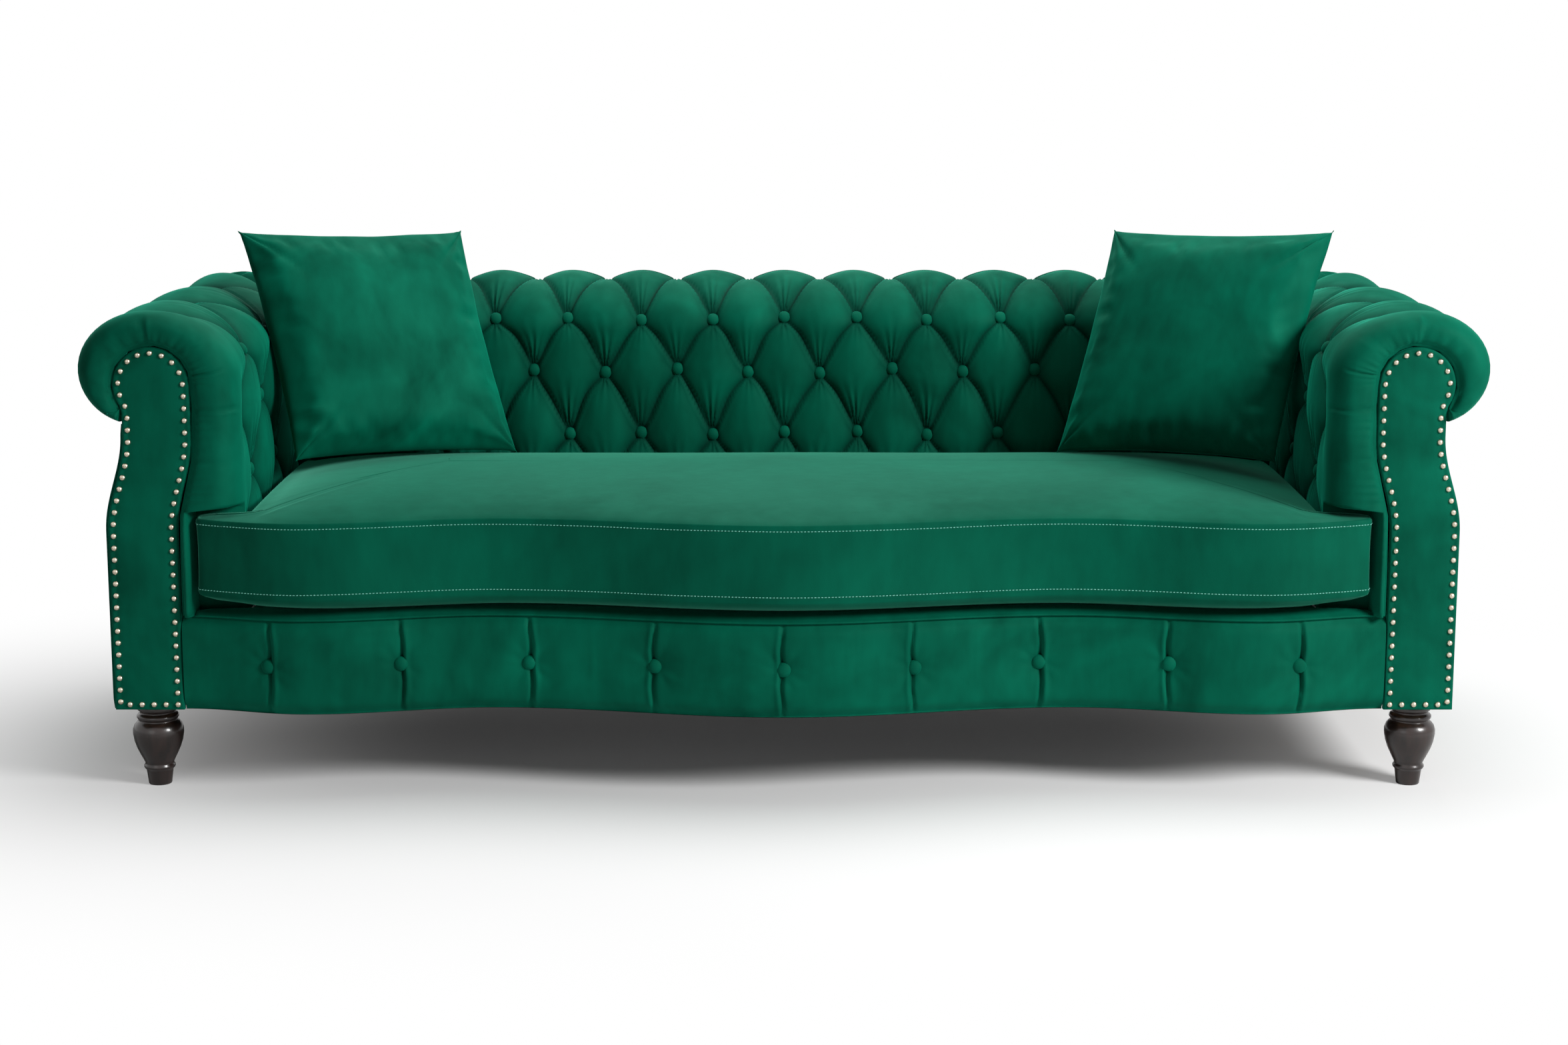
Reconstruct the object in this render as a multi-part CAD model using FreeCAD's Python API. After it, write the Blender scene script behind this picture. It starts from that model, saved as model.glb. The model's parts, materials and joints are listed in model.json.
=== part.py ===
import FreeCAD, Part
import math
import os

# A three-seat chesterfield sofa in velvet: deep-buttoned arms and back, bench seat and two scatter cushions.
# Millimetres. X runs along the sofa, the front faces -Y, Z is up and the floor is Z = 0.
# In arms and back, t is the distance outwards from the upright inner face and z is the height.

# Driving dimensions
INNER_HALF = 888.0          # centre line to the inner face of an arm
FRONT = -398.0              # plane of the two facing panels
BACK_FACE = 212.0           # inner face of the back
BODY_BOTTOM = 142.0
SEAT_LINE = 300.0           # where the pads end below and the front rail's top seam runs
ROLL_TOP = 800.0
ROLL_T = 148.0              # crown line of the roll, outwards from the inner face
ROLL_IN = (148.0, 105.0)    # half axes of the roll on the room side
ROLL_OUT = (114.0, 94.0)    # half axes of the roll on the outside
TACK_ANGLE = -66.7          # where the roll's cover is tacked under the roll, degrees
FORMER_Z = 702.0            # centre height of the wooden roll
FORMER_IN = (96.0, 52.0)
FORMER_OUT = (62.0, 52.0)
PAD_BACK_T = 52.0           # hidden face of the padding

ROW_HEIGHTS = (730.0, 627.0, 512.0, 400.0, SEAT_LINE)   # button rows below the top row, and the pad's end
BACK_STEP = 66.0            # half the spacing of the back's buttons
BACK_EVEN_STEPS = 11        # evenly spaced half pitches from the centre
BACK_STEPS = 14             # half pitches from the centre to the corner
ARM_STEP = 110.0
ARM_FIRST = FRONT + 85.0    # first row of buttons behind the arm's front
ARM_EVEN_STEPS = 3
ARM_STEPS = 5
FOLD_DEPTH = 15.0
BUTTON_SEAT = 13.5           # how far a button's rim lies below the crests
MITRE_BUTTON_SEAT = 10.5     # the same beside the mitres, where the padding is crowded
PIT_DEPTH = 10.0
MITRE_GAP = 0.5

PANEL_THICK = 14.0
BOARD_THICK = 18.0
PANEL_LOW = (102.0, 218.0)  # inner and outer edge of the facing panel below the waist
PANEL_NECK = (74.0, 188.0)  # and at its neck
PANEL_WAIST = (440.0, 600.0)
PANEL_HEAD = (138.0, 683.0, 63.0)   # middle t and z, radius
HEAD_ROW = 1.6              # the panel's head ends level with this v
HEAD_END = -37.0            # and meets the outer side at this angle
PAD_LIP = 5.0               # width of the padding's front lip outside the facing panel
PAD_HOLE = 2.4              # its clearance round the panel
NAIL_INSET = 9.5
NAIL_PITCH = 20.0
NAIL_RADIUS = 5.0
NAIL_RISE = 4.2
STUD_CROWN = 0.62           # width of a nail's or button's flat crown against its rim
BUTTON_RADIUS = 10.5
BUTTON_RISE = 6.0

SERPENTINE = ((0.0, -63.0), (475.0, 6.0), (785.0, -42.0), (990.0, -2.0))   # half width, offset from FRONT
RAIL_HALF = 987.0
RAIL_PAD = 34.0
RAIL_PLEAT = 211.0
RAIL_BUTTON_Z = 222.0
RAIL_BUTTON_SEAT = 4.0
RAIL_BUTTON_RADIUS = 12.0
RAIL_BUTTON_RISE = 7.0
RAIL_TIMBER = 30.0
TIMBER_GAP = RAIL_PAD + 2.0     # from the padding's face back to the rail's timber
TIMBER_Z = (150.0, 276.0)
POST_T = (112.0, 165.0)
POST_TOP = 725.0
SEAT_RAIL_T = (184.0, 213.5)
TACK_RAIL_T = (58.0, 130.0)
TACK_RAIL_Z = (312.0, 352.0)
TOP_RAIL_T = (122.0, 165.0)
TOP_RAIL_Z = (684.0, 730.0)
UNDER_ROLL_T = (142.0, 183.0)
UNDER_ROLL_Z = (588.0, 624.0)
STRAP = 2.0                 # thickness of the webbing
STRAP_HALF = 28.0           # half its width
DECK_Z = (280.0, 300.0, 303.0)      # under the felt, between felt and cloth, top of the cloth

EAR_HALF = 962.0            # the seat cushion's ears in front of the arms
EAR_BACK = FRONT + 36.0
CUSHION_HALF = 881.0
CUSHION_BACK = BACK_FACE - 6.0
CUSHION_OVERHANG = 11.0
CUSHION_SEAMS = (340.0, 462.0)
# heights and crowns below the lower seam
CUSHION_UNDER = ((303.5, 0.4), (308.0, 0.2), (316.0, 0.1), (328.0, 0.025))
CUSHION_CROWN = 500.0
CUSHION_NARROWS = 0.34      # how much the crown narrows along the sofa
EAR_CROWN = 0.1             # the ears have died away at this crown
EAR_LEAST = 8.0             # depth that is left of them there
CROWN_Y = FRONT + 380.0

PILLOW = 414.0              # side of a scatter cushion
PILLOW_THICK = 138.0
PILLOW_FILL_GAP = 30.0      # the filling is this much smaller than the cover
PILLOW_DRAWN_IN = 0.07
PILLOW_SEAM = 3.0

FOOT_X = 1050.0
FOOT_Y = (FRONT + 65.0, 355.0)
FOOT_PROFILE = ((19.5, 0.0), (23.5, 26.0), (26.0, 31.0), (25.0, 36.0), (36.0, 62.0), (42.0, 86.0),
                (41.0, 98.0), (32.0, 110.0), (34.5, 118.0), (29.5, 124.0), (34.0, 133.0),
                (30.0, BODY_BOTTOM))
FOOT_SIDES = 14
BOLT_RADIUS = 6.0
BOLT_Z = (112.0, 172.0)
BLOCK_TOP = 182.0


def point(x, y, z):
    return FreeCAD.Vector(x, y, z)


def save(name, shape):
    shape.exportStep("parts/" + name + ".step")


def ease(start, end, share):
    """A half cosine wave from start to end."""
    share = min(max(share, 0.0), 1.0)
    return start + (end - start) * (1 - math.cos(math.pi * share)) / 2


def between(knots, where):
    """Straight-line value at where, through (place, value) knots in rising order."""
    for (x0, y0), (x1, y1) in zip(knots, knots[1:]):
        if where <= x1:
            return y0 + (y1 - y0) * max(where - x0, 0.0) / (x1 - x0)
    return knots[-1][1]


# Solids

def closed_solid(faces):
    shell = Part.Shell(faces)
    shell.sewShape()
    if Part.Solid(shell).Volume < 0:
        shell = Part.Shell([face.reversed() for face in shell.Faces])
    return Part.Solid(shell)


def flat_face(points):
    return Part.Face(Part.makePolygon(points + points[:1]))


def panel(a, b, c, d):
    """The two flat triangles of a four-cornered panel, split along its shorter diagonal."""
    if a.distanceToPoint(c) < b.distanceToPoint(d):
        return [flat_face([a, b, c]), flat_face([a, c, d])]
    return [flat_face([a, b, d]), flat_face([b, c, d])]


def seam_end(section):
    """Panels across a thin, bent end section whose first and second halves face each other."""
    faces = []
    last = len(section) - 1
    for i in range(len(section) // 2 - 1):
        faces += panel(section[i], section[i + 1], section[last - i - 1], section[last - i])
    return faces


def line_loft(sections, bent_ends=False):
    """A loft through straight-sided sections, closed at each end."""
    if bent_ends:
        faces = seam_end(sections[0]) + seam_end(sections[-1])
    else:
        faces = [flat_face(sections[0]), flat_face(sections[-1])]
    for near, far in zip(sections, sections[1:]):
        for i in range(len(near)):
            j = (i + 1) % len(near)
            faces += panel(near[i], near[j], far[j], far[i])
    return closed_solid(faces)


def box(x, y, z):
    """A box from its (low, high) pairs."""
    return Part.makeBox(x[1] - x[0], y[1] - y[0], z[1] - z[0], point(x[0], y[0], z[0]))


def prism(points, direction):
    return flat_face(points).extrude(direction)


def mirrored(shape):
    return shape.mirror(point(0, 0, 0), point(1, 0, 0))


def save_pair(name, shape):
    """The right-hand piece as drawn and its left-hand twin."""
    save("right_" + name, shape)
    save("left_" + name, mirrored(shape))


def ring(middle, radius, sides, across=FreeCAD.Vector(1, 0, 0), along=FreeCAD.Vector(0, 1, 0)):
    """The corners of a regular polygon in the plane of two unit vectors."""
    turns = [2 * math.pi * k / sides for k in range(sides)]
    return [middle + (across * math.cos(turn) + along * math.sin(turn)) * radius for turn in turns]


def round_bar(centre, radius, low, high, sides=12):
    return prism(ring(point(*centre, low), radius, sides), point(0, 0, high - low))


def stud(place, axis, radius, rise, sides):
    """A low domed head: a wide ring, a narrower ring above it and a flat crown."""
    up = point(*axis).normalize()
    side = up.cross(point(1, 0, 0)) if abs(up.x) < 0.9 else up.cross(point(0, 0, 1))
    side = side.normalize()
    other = up.cross(side)
    return line_loft([ring(place, radius, sides, side, other),
                      ring(place + up * rise, radius * STUD_CROWN, sides, side, other)])


# The rolled cross-section, as a function of v: 0 on the roll's crown line, 1 to 5 down the inner
# face at the button rows, and -1 where the cover is tacked under the roll.

def ellipse_point(angle, middle_t, middle_z, inside, outside):
    half = inside if angle > 90 else outside
    turn = math.radians(angle)
    return middle_t + half[0] * math.cos(turn), middle_z + half[1] * math.sin(turn)


ROW_ANGLE = 180 - math.degrees(math.asin((ROW_HEIGHTS[0] - ROLL_TOP + ROLL_IN[1]) / ROLL_IN[1]))


def angle_at(v):
    return 90 + (ROW_ANGLE - 90) * v if v >= 0 else 90 + (90 - TACK_ANGLE) * v


def row_height(v):
    return between([(row + 1, height) for row, height in enumerate(ROW_HEIGHTS)], v)


def crest_point(v):
    """The outside of the padding, over the crests of its pillows."""
    if v <= 1:
        middle = ROLL_TOP - (ROLL_IN[1] if v >= 0 else ROLL_OUT[1])
        return ellipse_point(angle_at(v), ROLL_T, middle, ROLL_IN, ROLL_OUT)
    height = row_height(v)
    rise = max(height - ROLL_TOP + ROLL_IN[1], 0.0) / ROLL_IN[1]
    return ROLL_T - ROLL_IN[0] * math.sqrt(1 - rise * rise), height


def former_point(v, gap=0.0):
    """The hidden face of the padding, over the wooden roll, or gap inside it."""
    if v <= 1:
        inside, outside = [(half[0] - gap, half[1] - gap) for half in (FORMER_IN, FORMER_OUT)]
        return ellipse_point(angle_at(v), ROLL_T, FORMER_Z, inside, outside)
    return PAD_BACK_T + gap, min(row_height(v), FORMER_Z)


def panel_edge(v, inset=0.0):
    """The edge of the facing panel beside the padding: its round head, then its inner side."""
    if v > HEAD_ROW:
        height = row_height(v)
        return panel_side(0, height) + inset, height
    angle = angle_at(v) if v <= 1 else ROW_ANGLE + (180 - ROW_ANGLE) * (v - 1) / (HEAD_ROW - 1)
    turn = math.radians(max(angle, HEAD_END))
    radius = PANEL_HEAD[2] - inset
    return PANEL_HEAD[0] + radius * math.cos(turn), PANEL_HEAD[1] + radius * math.sin(turn)


def panel_side(side, height):
    share = (height - PANEL_WAIST[0]) / (PANEL_WAIST[1] - PANEL_WAIST[0])
    return ease(PANEL_LOW[side], PANEL_NECK[side], share)


def outwards(v):
    """Unit normal of the crest profile, away from the padding."""
    t0, z0 = crest_point(min(v + 0.02, 5.0))
    t1, z1 = crest_point(v - 0.02)
    length = math.hypot(t1 - t0, z1 - z0)
    return (z0 - z1) / length, (t1 - t0) / length


# Deep buttoning. u counts half pitches along the sofa and v the rows. Buttons stand where u + v
# is even, or odd when shift is 1, and folds run along the diagonals between them.

def tuft(u, v, shift):
    """Depth below the crests: folds between the pillows, with a pit at each button."""
    row = max(v, 0.0)
    p = (u + row + shift) / 2
    q = (u - row + shift) / 2
    p = abs(p - round(p))
    q = abs(q - round(q))
    pillow = (math.sin(math.pi * p) * math.sin(math.pi * q)) ** 0.6
    pit = math.exp(-(p * p + q * q) / 0.012)
    fade = 1 + 0.85 * min(v, 0.0)
    return (FOLD_DEPTH * (1 - pillow) + PIT_DEPTH * pit) * fade


def section_rows(u, shift):
    """The v of each corner of a section at u, from the pad's end up and over the roll."""
    column = math.floor(u)
    share = u - column
    rows = []
    for row in range(5):
        from_button = (column + row + shift) % 2 == 0
        fold = row + min(max(share if from_button else 1 - share, 0.12), 0.88)
        rows += [row, (row + fold) / 2, fold, (fold + row + 1) / 2]
    return [5.0] + rows[::-1] + [-0.25, -0.5, -0.75, -1.0]


FORMER_ROWS = (-1.0, -0.75, -0.5, -0.25, 0.0, 0.5, 1.0, 2.3, 3.6, 5.0)


def tufted_section(u, shift, place, depth=1.0):
    """A closed section through the padding, where place(u, t, z) puts its points in the sofa."""
    outline = []
    for v in section_rows(u, shift):
        t, z = crest_point(v)
        across, up = outwards(v)
        sunk = tuft(u, v, shift) * depth if v < 5 else 0.0
        outline.append(place(u, t - across * sunk, z - up * sunk))
    for v in FORMER_ROWS:
        outline.append(place(u, *former_point(v)))
    return outline


def back_place(u, t, z):
    """The back runs straight, then stretches into the mitre with the arm."""
    steps = min(abs(u), BACK_EVEN_STEPS)
    x = BACK_STEP * steps
    x += (abs(u) - steps) * (INNER_HALF + t - x) / (BACK_STEPS - BACK_EVEN_STEPS)
    return point(math.copysign(x, u), BACK_FACE + t, z)


def arm_place(u, t, z):
    """The arm runs straight from its first buttons, then stretches into the mitre with the back."""
    steps = min(u, ARM_EVEN_STEPS)
    y = ARM_FIRST + ARM_STEP * steps
    y += (u - steps) * (BACK_FACE + t - y) / (ARM_STEPS - ARM_EVEN_STEPS)
    return point(INNER_HALF + t, y - MITRE_GAP, z)


def back_tufted_pad():
    count = 4 * BACK_STEPS
    save("back_tufted_pad", line_loft(
        [tufted_section(k / 2 - BACK_STEPS, 1, back_place) for k in range(count + 1)]))


# The arm's front: the padding turns over the edge and in to the sunk facing panel. Each step is
# (distance behind the panel's plane, share of the way in to the panel, the hidden face's distance).
ARM_FRONT_STEPS = ((2.0, 1.0, 2.0), (-8.0, 0.72, 3.0), (-9.0, 0.42, 4.5), (6.0, 0.15, 6.0),
                   (26.0, 0.03, 26.0), (42.0, 0.0, 42.0), (46.0, 0.0, 46.0))
EAR_NOTCH_T = EAR_HALF - INNER_HALF + 6.0
EAR_NOTCH_Y = EAR_BACK + 8.0
NOTCH_ROWS = (3.29, 3.26, 3.2)      # from the notch's top edge up, between the third and fourth row


def arm_front_section(behind, share, hidden_behind):
    """A section of the arm's front, notched where the seat cushion's ear comes in front of it."""
    y = FRONT + behind
    notched = y < EAR_NOTCH_Y
    rows = section_rows(0, 0)
    if notched:
        third = rows.index(3)
        rows[third - len(NOTCH_ROWS):third] = NOTCH_ROWS
    outline = []
    for v in rows:
        t, z = crest_point(v)
        if notched and v >= NOTCH_ROWS[0]:
            t = max(t, EAR_NOTCH_T)
        edge_t, edge_z = panel_edge(v, -PAD_LIP)
        outline.append(point(INNER_HALF + t + (edge_t - t) * share, y, z + (edge_z - z) * share))
    for v in FORMER_ROWS:
        t, z = panel_edge(v, -PAD_HOLE) if notched else former_point(v)
        outline.append(point(INNER_HALF + t, FRONT + hidden_behind, z))
    return outline


def arm_tufted_pad():
    sections = [arm_front_section(*step) for step in ARM_FRONT_STEPS]
    sections += [tufted_section(k / 2, 0, arm_place) for k in range(2 * ARM_STEPS + 1)]
    save_pair("arm_tufted_pad", line_loft(sections))


def tuft_button(u, v, shift, place, sunk):
    t, z = crest_point(v)
    across, up = outwards(v)
    middle = place(u, t - across * sunk, z - up * sunk)
    above = place(u, t - across * (sunk - 1), z - up * (sunk - 1))
    axis = above - middle
    return stud(middle, (axis.x, axis.y, axis.z), BUTTON_RADIUS, BUTTON_RISE, 6)


def buttons():
    seats = [BUTTON_SEAT] * (BACK_STEPS - 1) + [MITRE_BUTTON_SEAT]
    back = [tuft_button(u, v, 1, back_place, seats[abs(u)])
            for v in range(1, 5) for u in range(1 - BACK_STEPS, BACK_STEPS) if (u + v) % 2]
    save("back_buttons", Part.makeCompound(back))
    arm = [tuft_button(u, v, 0, arm_place, BUTTON_SEAT)
           for v in range(1, 5) for u in range(ARM_STEPS) if (u + v) % 2 == 0]
    save_pair("arm_buttons", Part.makeCompound(arm))


# Facing panels

def panel_path(inset, low):
    """The facing panel's outline from its lower inner corner round to its lower outer corner."""
    heights = [low, 300.0] + [PANEL_WAIST[0] + 20 * k for k in range(9)]
    inner = [(panel_side(0, z) + inset, z) for z in heights]
    head = []
    for k in range(15):
        turn = math.radians(180 + (HEAD_END - 180) * k / 14)
        radius = PANEL_HEAD[2] - inset
        head.append((PANEL_HEAD[0] + radius * math.cos(turn), PANEL_HEAD[1] + radius * math.sin(turn)))
    outer = [(panel_side(1, z) - inset, z) for z in reversed(heights)]
    return inner + head + outer


def panel_solid(inset, low, start, thick):
    outline = [point(INNER_HALF + t, FRONT + start, z) for t, z in panel_path(inset, low)]
    return prism(outline, point(0, thick, 0))


def walk(path, pitch):
    """Evenly spaced points along a path of (t, z) corners, close to pitch apart."""
    lengths = [0.0]
    for a, b in zip(path, path[1:]):
        lengths.append(lengths[-1] + math.hypot(b[0] - a[0], b[1] - a[1]))
    count = round(lengths[-1] / pitch)
    spots = []
    for k in range(count):
        goal = lengths[-1] * k / count
        spots.append((between(list(zip(lengths, [p[0] for p in path])), goal),
                      between(list(zip(lengths, [p[1] for p in path])), goal)))
    return spots


def facings():
    save_pair("facing_panel", panel_solid(PAD_HOLE, BODY_BOTTOM, 0.0, PANEL_THICK))
    save_pair("scroll_board", panel_solid(5.0, BODY_BOTTOM + 4, PANEL_THICK, BOARD_THICK))
    path = panel_path(NAIL_INSET, BODY_BOTTOM + NAIL_INSET)
    nails = [stud(point(INNER_HALF + t, FRONT, z), (0, -1, 0), NAIL_RADIUS, NAIL_RISE, 6)
             for t, z in walk(path + path[:1], NAIL_PITCH)]
    save_pair("nail_trim", Part.makeCompound(nails))


# Outside panels, the wooden roll and the frame rails that follow the arms and the back

def along_back(profile):
    """A (t, z) profile run along the back from mitre to mitre."""
    return line_loft([[back_place(side * BACK_STEPS, t, z) for t, z in profile] for side in (-1, 1)])


def along_arm(profile, front):
    """A (t, z) profile run along the right arm from y = front to the mitre."""
    start = [point(INNER_HALF + t, front, z) for t, z in profile]
    return line_loft([start, [arm_place(ARM_STEPS, t, z) for t, z in profile]])


def outside_profile():
    heights = [BODY_BOTTOM, PANEL_WAIST[0], 480.0, 520.0, 560.0, PANEL_WAIST[1], 616.0]
    face = [(panel_side(1, z) + 1, z) for z in heights]
    return face + [(t - 5, z) for t, z in reversed(face)]


def roll_skin_profile():
    """A bent board 4 mm thick that backs the padding from the inner face over the roll."""
    rows = [v for v in FORMER_ROWS[::-1] if v <= 1]
    faces = []
    for gap in (1.0, 5.0):
        curve = [former_point(v, gap) for v in rows]
        faces.append([(curve[0][0], 650.0)] + curve)
    return faces[0] + faces[1][::-1]


def shells():
    save("back_outside_panel", along_back(outside_profile()))
    save_pair("outside_arm_panel", along_arm(outside_profile(), FRONT + PANEL_THICK + BOARD_THICK + 1))
    save("back_roll_skin", along_back(roll_skin_profile()))
    save_pair("arm_roll_skin", along_arm(roll_skin_profile(), FRONT + 47))


def arm_box(t, y, z):
    """A timber of the right arm, from its distances outwards."""
    return box((INNER_HALF + t[0], INNER_HALF + t[1]), y, z)


def back_box(half, t, z):
    """A timber of the back, half its length to each side."""
    return box((-half, half), (BACK_FACE + t[0], BACK_FACE + t[1]), z)


def frame_timbers():
    front_y = (FRONT + PANEL_THICK + BOARD_THICK, FRONT + 96.0)
    rear_y = (BACK_FACE + POST_T[0], BACK_FACE + POST_T[1])
    arm_run = (front_y[1], rear_y[0])
    half = INNER_HALF + POST_T[0]
    save_pair("front_post", arm_box(POST_T, front_y, (BLOCK_TOP, POST_TOP)))
    save_pair("rear_post", arm_box(POST_T, rear_y, (BLOCK_TOP, POST_TOP)))
    save_pair("side_seat_rail", arm_box(SEAT_RAIL_T, (front_y[0], BACK_FACE + SEAT_RAIL_T[0]), TIMBER_Z))
    save_pair("arm_tack_rail", arm_box(TACK_RAIL_T, arm_run, TACK_RAIL_Z))
    save_pair("arm_top_rail", arm_box(TOP_RAIL_T, arm_run, TOP_RAIL_Z))
    save_pair("arm_under_roll_rail", arm_box(UNDER_ROLL_T, arm_run, UNDER_ROLL_Z))
    save("back_seat_rail", back_box(INNER_HALF + SEAT_RAIL_T[1], SEAT_RAIL_T, TIMBER_Z))
    save("back_tack_rail", back_box(INNER_HALF + TACK_RAIL_T[0], TACK_RAIL_T, TACK_RAIL_Z))
    save("back_top_rail", back_box(half, TOP_RAIL_T, TOP_RAIL_Z))
    save("back_under_roll_rail", back_box(half, UNDER_ROLL_T, UNDER_ROLL_Z))
    upright_y = (BACK_FACE + SEAT_RAIL_T[0] - 30, BACK_FACE + SEAT_RAIL_T[0])
    uprights = [box((x - 24, x + 24), upright_y, (TIMBER_Z[0], UNDER_ROLL_Z[0])) for x in (-350, 350)]
    save("back_uprights", Part.makeCompound(uprights))


def serpentine(x):
    """The front's offset from FRONT at x, in half cosine waves between its knots."""
    x = abs(x)
    for (x0, y0), (x1, y1) in zip(SERPENTINE, SERPENTINE[1:]):
        if x <= x1:
            return ease(y0, y1, (x - x0) / (x1 - x0))
    return SERPENTINE[-1][1]


def serpentine_board(gap, thick, half, z, steps=24):
    """A board that follows the serpentine front, gap behind the padding's face."""
    places = [half * (2 * k / steps - 1) for k in range(steps + 1)]
    front = [point(x, FRONT + serpentine(x) + gap, z[0]) for x in places]
    back = [p + point(0, thick, 0) for p in reversed(front)]
    return prism(front + back, point(0, 0, z[1] - z[0]))


def rail_pad_section(x, sunk):
    """Front padding at x: rounded into the seam above and the edge below, drawn in by sunk."""
    y = FRONT + serpentine(x)
    top = SEAT_LINE
    front = [(BODY_BOTTOM, 9.0), (BODY_BOTTOM + 14, 3.0 + sunk / 2), (185.0, sunk),
             (RAIL_BUTTON_Z, sunk * 1.3), (260.0, sunk), (top - 12, 3.0 + sunk / 2), (top, 9.0)]
    corners = [point(x, y + depth, z) for z, depth in front]
    return corners + [point(x, y + RAIL_PAD, top), point(x, y + RAIL_PAD, BODY_BOTTOM)]


def front_rail():
    save("front_seat_rail", serpentine_board(TIMBER_GAP, RAIL_TIMBER, INNER_HALF + POST_T[0], TIMBER_Z))
    stops = [(-RAIL_HALF, 0.0)]
    pleats = [RAIL_PLEAT * k for k in range(-4, 5)]
    for x in pleats:
        stops += [(x - 62, 0.0), (x - 14, 5.0), (x, 10.0), (x + 14, 5.0), (x + 62, 0.0)]
    stops.append((RAIL_HALF, 0.0))
    save("front_rail_pad", line_loft([rail_pad_section(x, sunk) for x, sunk in stops]))
    heads = [stud(point(x, FRONT + serpentine(x) + RAIL_BUTTON_SEAT, RAIL_BUTTON_Z), (0, -1, 0),
                  RAIL_BUTTON_RADIUS, RAIL_BUTTON_RISE, 8) for x in pleats]
    save("front_rail_buttons", Part.makeCompound(heads))


def deck():
    """Webbing on the seat rails, a felt pad over it and the cloth that shows as a lip in front."""
    low = TIMBER_Z[1]
    straps = [box((x - STRAP_HALF, x + STRAP_HALF),
                  (FRONT + serpentine(x) + TIMBER_GAP + 8, BACK_FACE + SEAT_RAIL_T[0] + 20),
                  (low, low + STRAP))
              for x in range(-840, 841, 140)]
    reach = INNER_HALF + SEAT_RAIL_T[0] + 20
    straps += [box((-reach, reach), (y - STRAP_HALF, y + STRAP_HALF), (low + STRAP, low + 2 * STRAP))
               for y in range(-230, 231, 115)]
    save("seat_webbing", Part.makeCompound(straps))
    half = EAR_NOTCH_T + INNER_HALF - 32.0
    under = INNER_HALF + PAD_BACK_T - 4
    rear = BACK_FACE + PAD_BACK_T - 4
    places = [half * (2 * k / 24 - 1) for k in range(25)]
    edge = [point(x, FRONT + serpentine(x) + TIMBER_GAP, DECK_Z[0]) for x in places]
    felt = edge + [point(under, rear, DECK_Z[0]), point(-under, rear, DECK_Z[0])]
    save("deck_felt", prism(felt, point(0, 0, DECK_Z[1] - DECK_Z[0])))
    lip = [point(p.x, p.y - TIMBER_GAP + 8, DECK_Z[1]) for p in edge]
    ear_back = EAR_BACK - 10
    rim = [(half, ear_back), (CUSHION_HALF, ear_back), (CUSHION_HALF, BACK_FACE - 4),
           (-CUSHION_HALF, BACK_FACE - 4), (-CUSHION_HALF, ear_back), (-half, ear_back)]
    cloth = lip + [point(x, y, DECK_Z[1]) for x, y in rim]
    save("deck_cloth", prism(cloth, point(0, 0, DECK_Z[2] - DECK_Z[1])))
    bearers = [box((x - 15, x + 15),
                   (FRONT + serpentine(x) + TIMBER_GAP + RAIL_TIMBER + 1.5, BACK_FACE + SEAT_RAIL_T[0]),
                   (TIMBER_Z[0] + 10, TIMBER_Z[0] + 70)) for x in (-500, 0, 500)]
    save("seat_cross_bearers", Part.makeCompound(bearers))


def linings():
    """Webbing straps behind the padding of the back and the arms, upright, and the dust cover below."""
    face = (TACK_RAIL_T[0] - STRAP, TACK_RAIL_T[0])
    height = (TACK_RAIL_Z[0] + 18, 680.0)
    back = [box((x - STRAP_HALF, x + STRAP_HALF), (BACK_FACE + face[0], BACK_FACE + face[1]), height)
            for x in range(-800, 801, 160)]
    save("back_webbing", Part.makeCompound(back))
    arm = [arm_box(face, (y - STRAP_HALF, y + STRAP_HALF), height) for y in (-240, -110, 20, 150)]
    save_pair("arm_webbing", Part.makeCompound(arm))
    places = [RAIL_HALF * (2 * k / 24 - 1) for k in range(25)]
    low = TIMBER_Z[0] - STRAP
    front = [point(x, FRONT + serpentine(x) + TIMBER_GAP, low) for x in places]
    rear = BACK_FACE + SEAT_RAIL_T[1]
    save("dust_cover", prism(front + [point(RAIL_HALF, rear, low), point(-RAIL_HALF, rear, low)],
                             point(0, 0, STRAP)))


def feet():
    """Turned feet, each on a hanger bolt into a block under the post."""
    turned = line_loft([ring(point(0, 0, z), radius, FOOT_SIDES) for radius, z in FOOT_PROFILE])
    turned = turned.cut(round_bar((0, 0), BOLT_RADIUS, BOLT_Z[0], BODY_BOTTOM + 1))
    blocks = []
    bolts = []
    for name, y in zip(("front_feet", "rear_feet"), FOOT_Y):
        pair = []
        for x in (-FOOT_X, FOOT_X):
            foot = turned.copy()
            foot.translate(point(x, y, 0))
            pair.append(foot)
            bolts.append(round_bar((x, y), BOLT_RADIUS, *BOLT_Z))
            sides = [math.copysign(INNER_HALF + t, x) for t in (POST_T[0], SEAT_RAIL_T[0] - 0.5)]
            block = box(sorted(sides), (y - 31, y + 31), (BODY_BOTTOM, BLOCK_TOP))
            blocks.append(block.cut(bolts[-1]))
        save(name, Part.makeCompound(pair))
    save("foot_blocks", Part.makeCompound(blocks))
    save("foot_bolts", Part.makeCompound(bolts))


# Seat cushion: a T-shaped bench cushion, boxed, with a crowned top and a rounded underside

def cushion_outline(grow, side):
    """Half of the plan from the front centre to the back centre, grown by grow all round."""
    nose = [side * (EAR_HALF + grow) * k / 12 for k in range(13)]
    front = [(x, FRONT + serpentine(x) - CUSHION_OVERHANG - grow) for x in nose]
    ear = [(side * (EAR_HALF + grow), EAR_BACK + grow)]
    flank = [(side * (CUSHION_HALF + grow), EAR_BACK + grow + (CUSHION_BACK - EAR_BACK) * k / 4)
             for k in range(5)]
    rear = [(side * (CUSHION_HALF + grow) * (1 - k / 5), CUSHION_BACK + grow) for k in range(1, 5)]
    return front + ear + flank + rear


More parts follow.
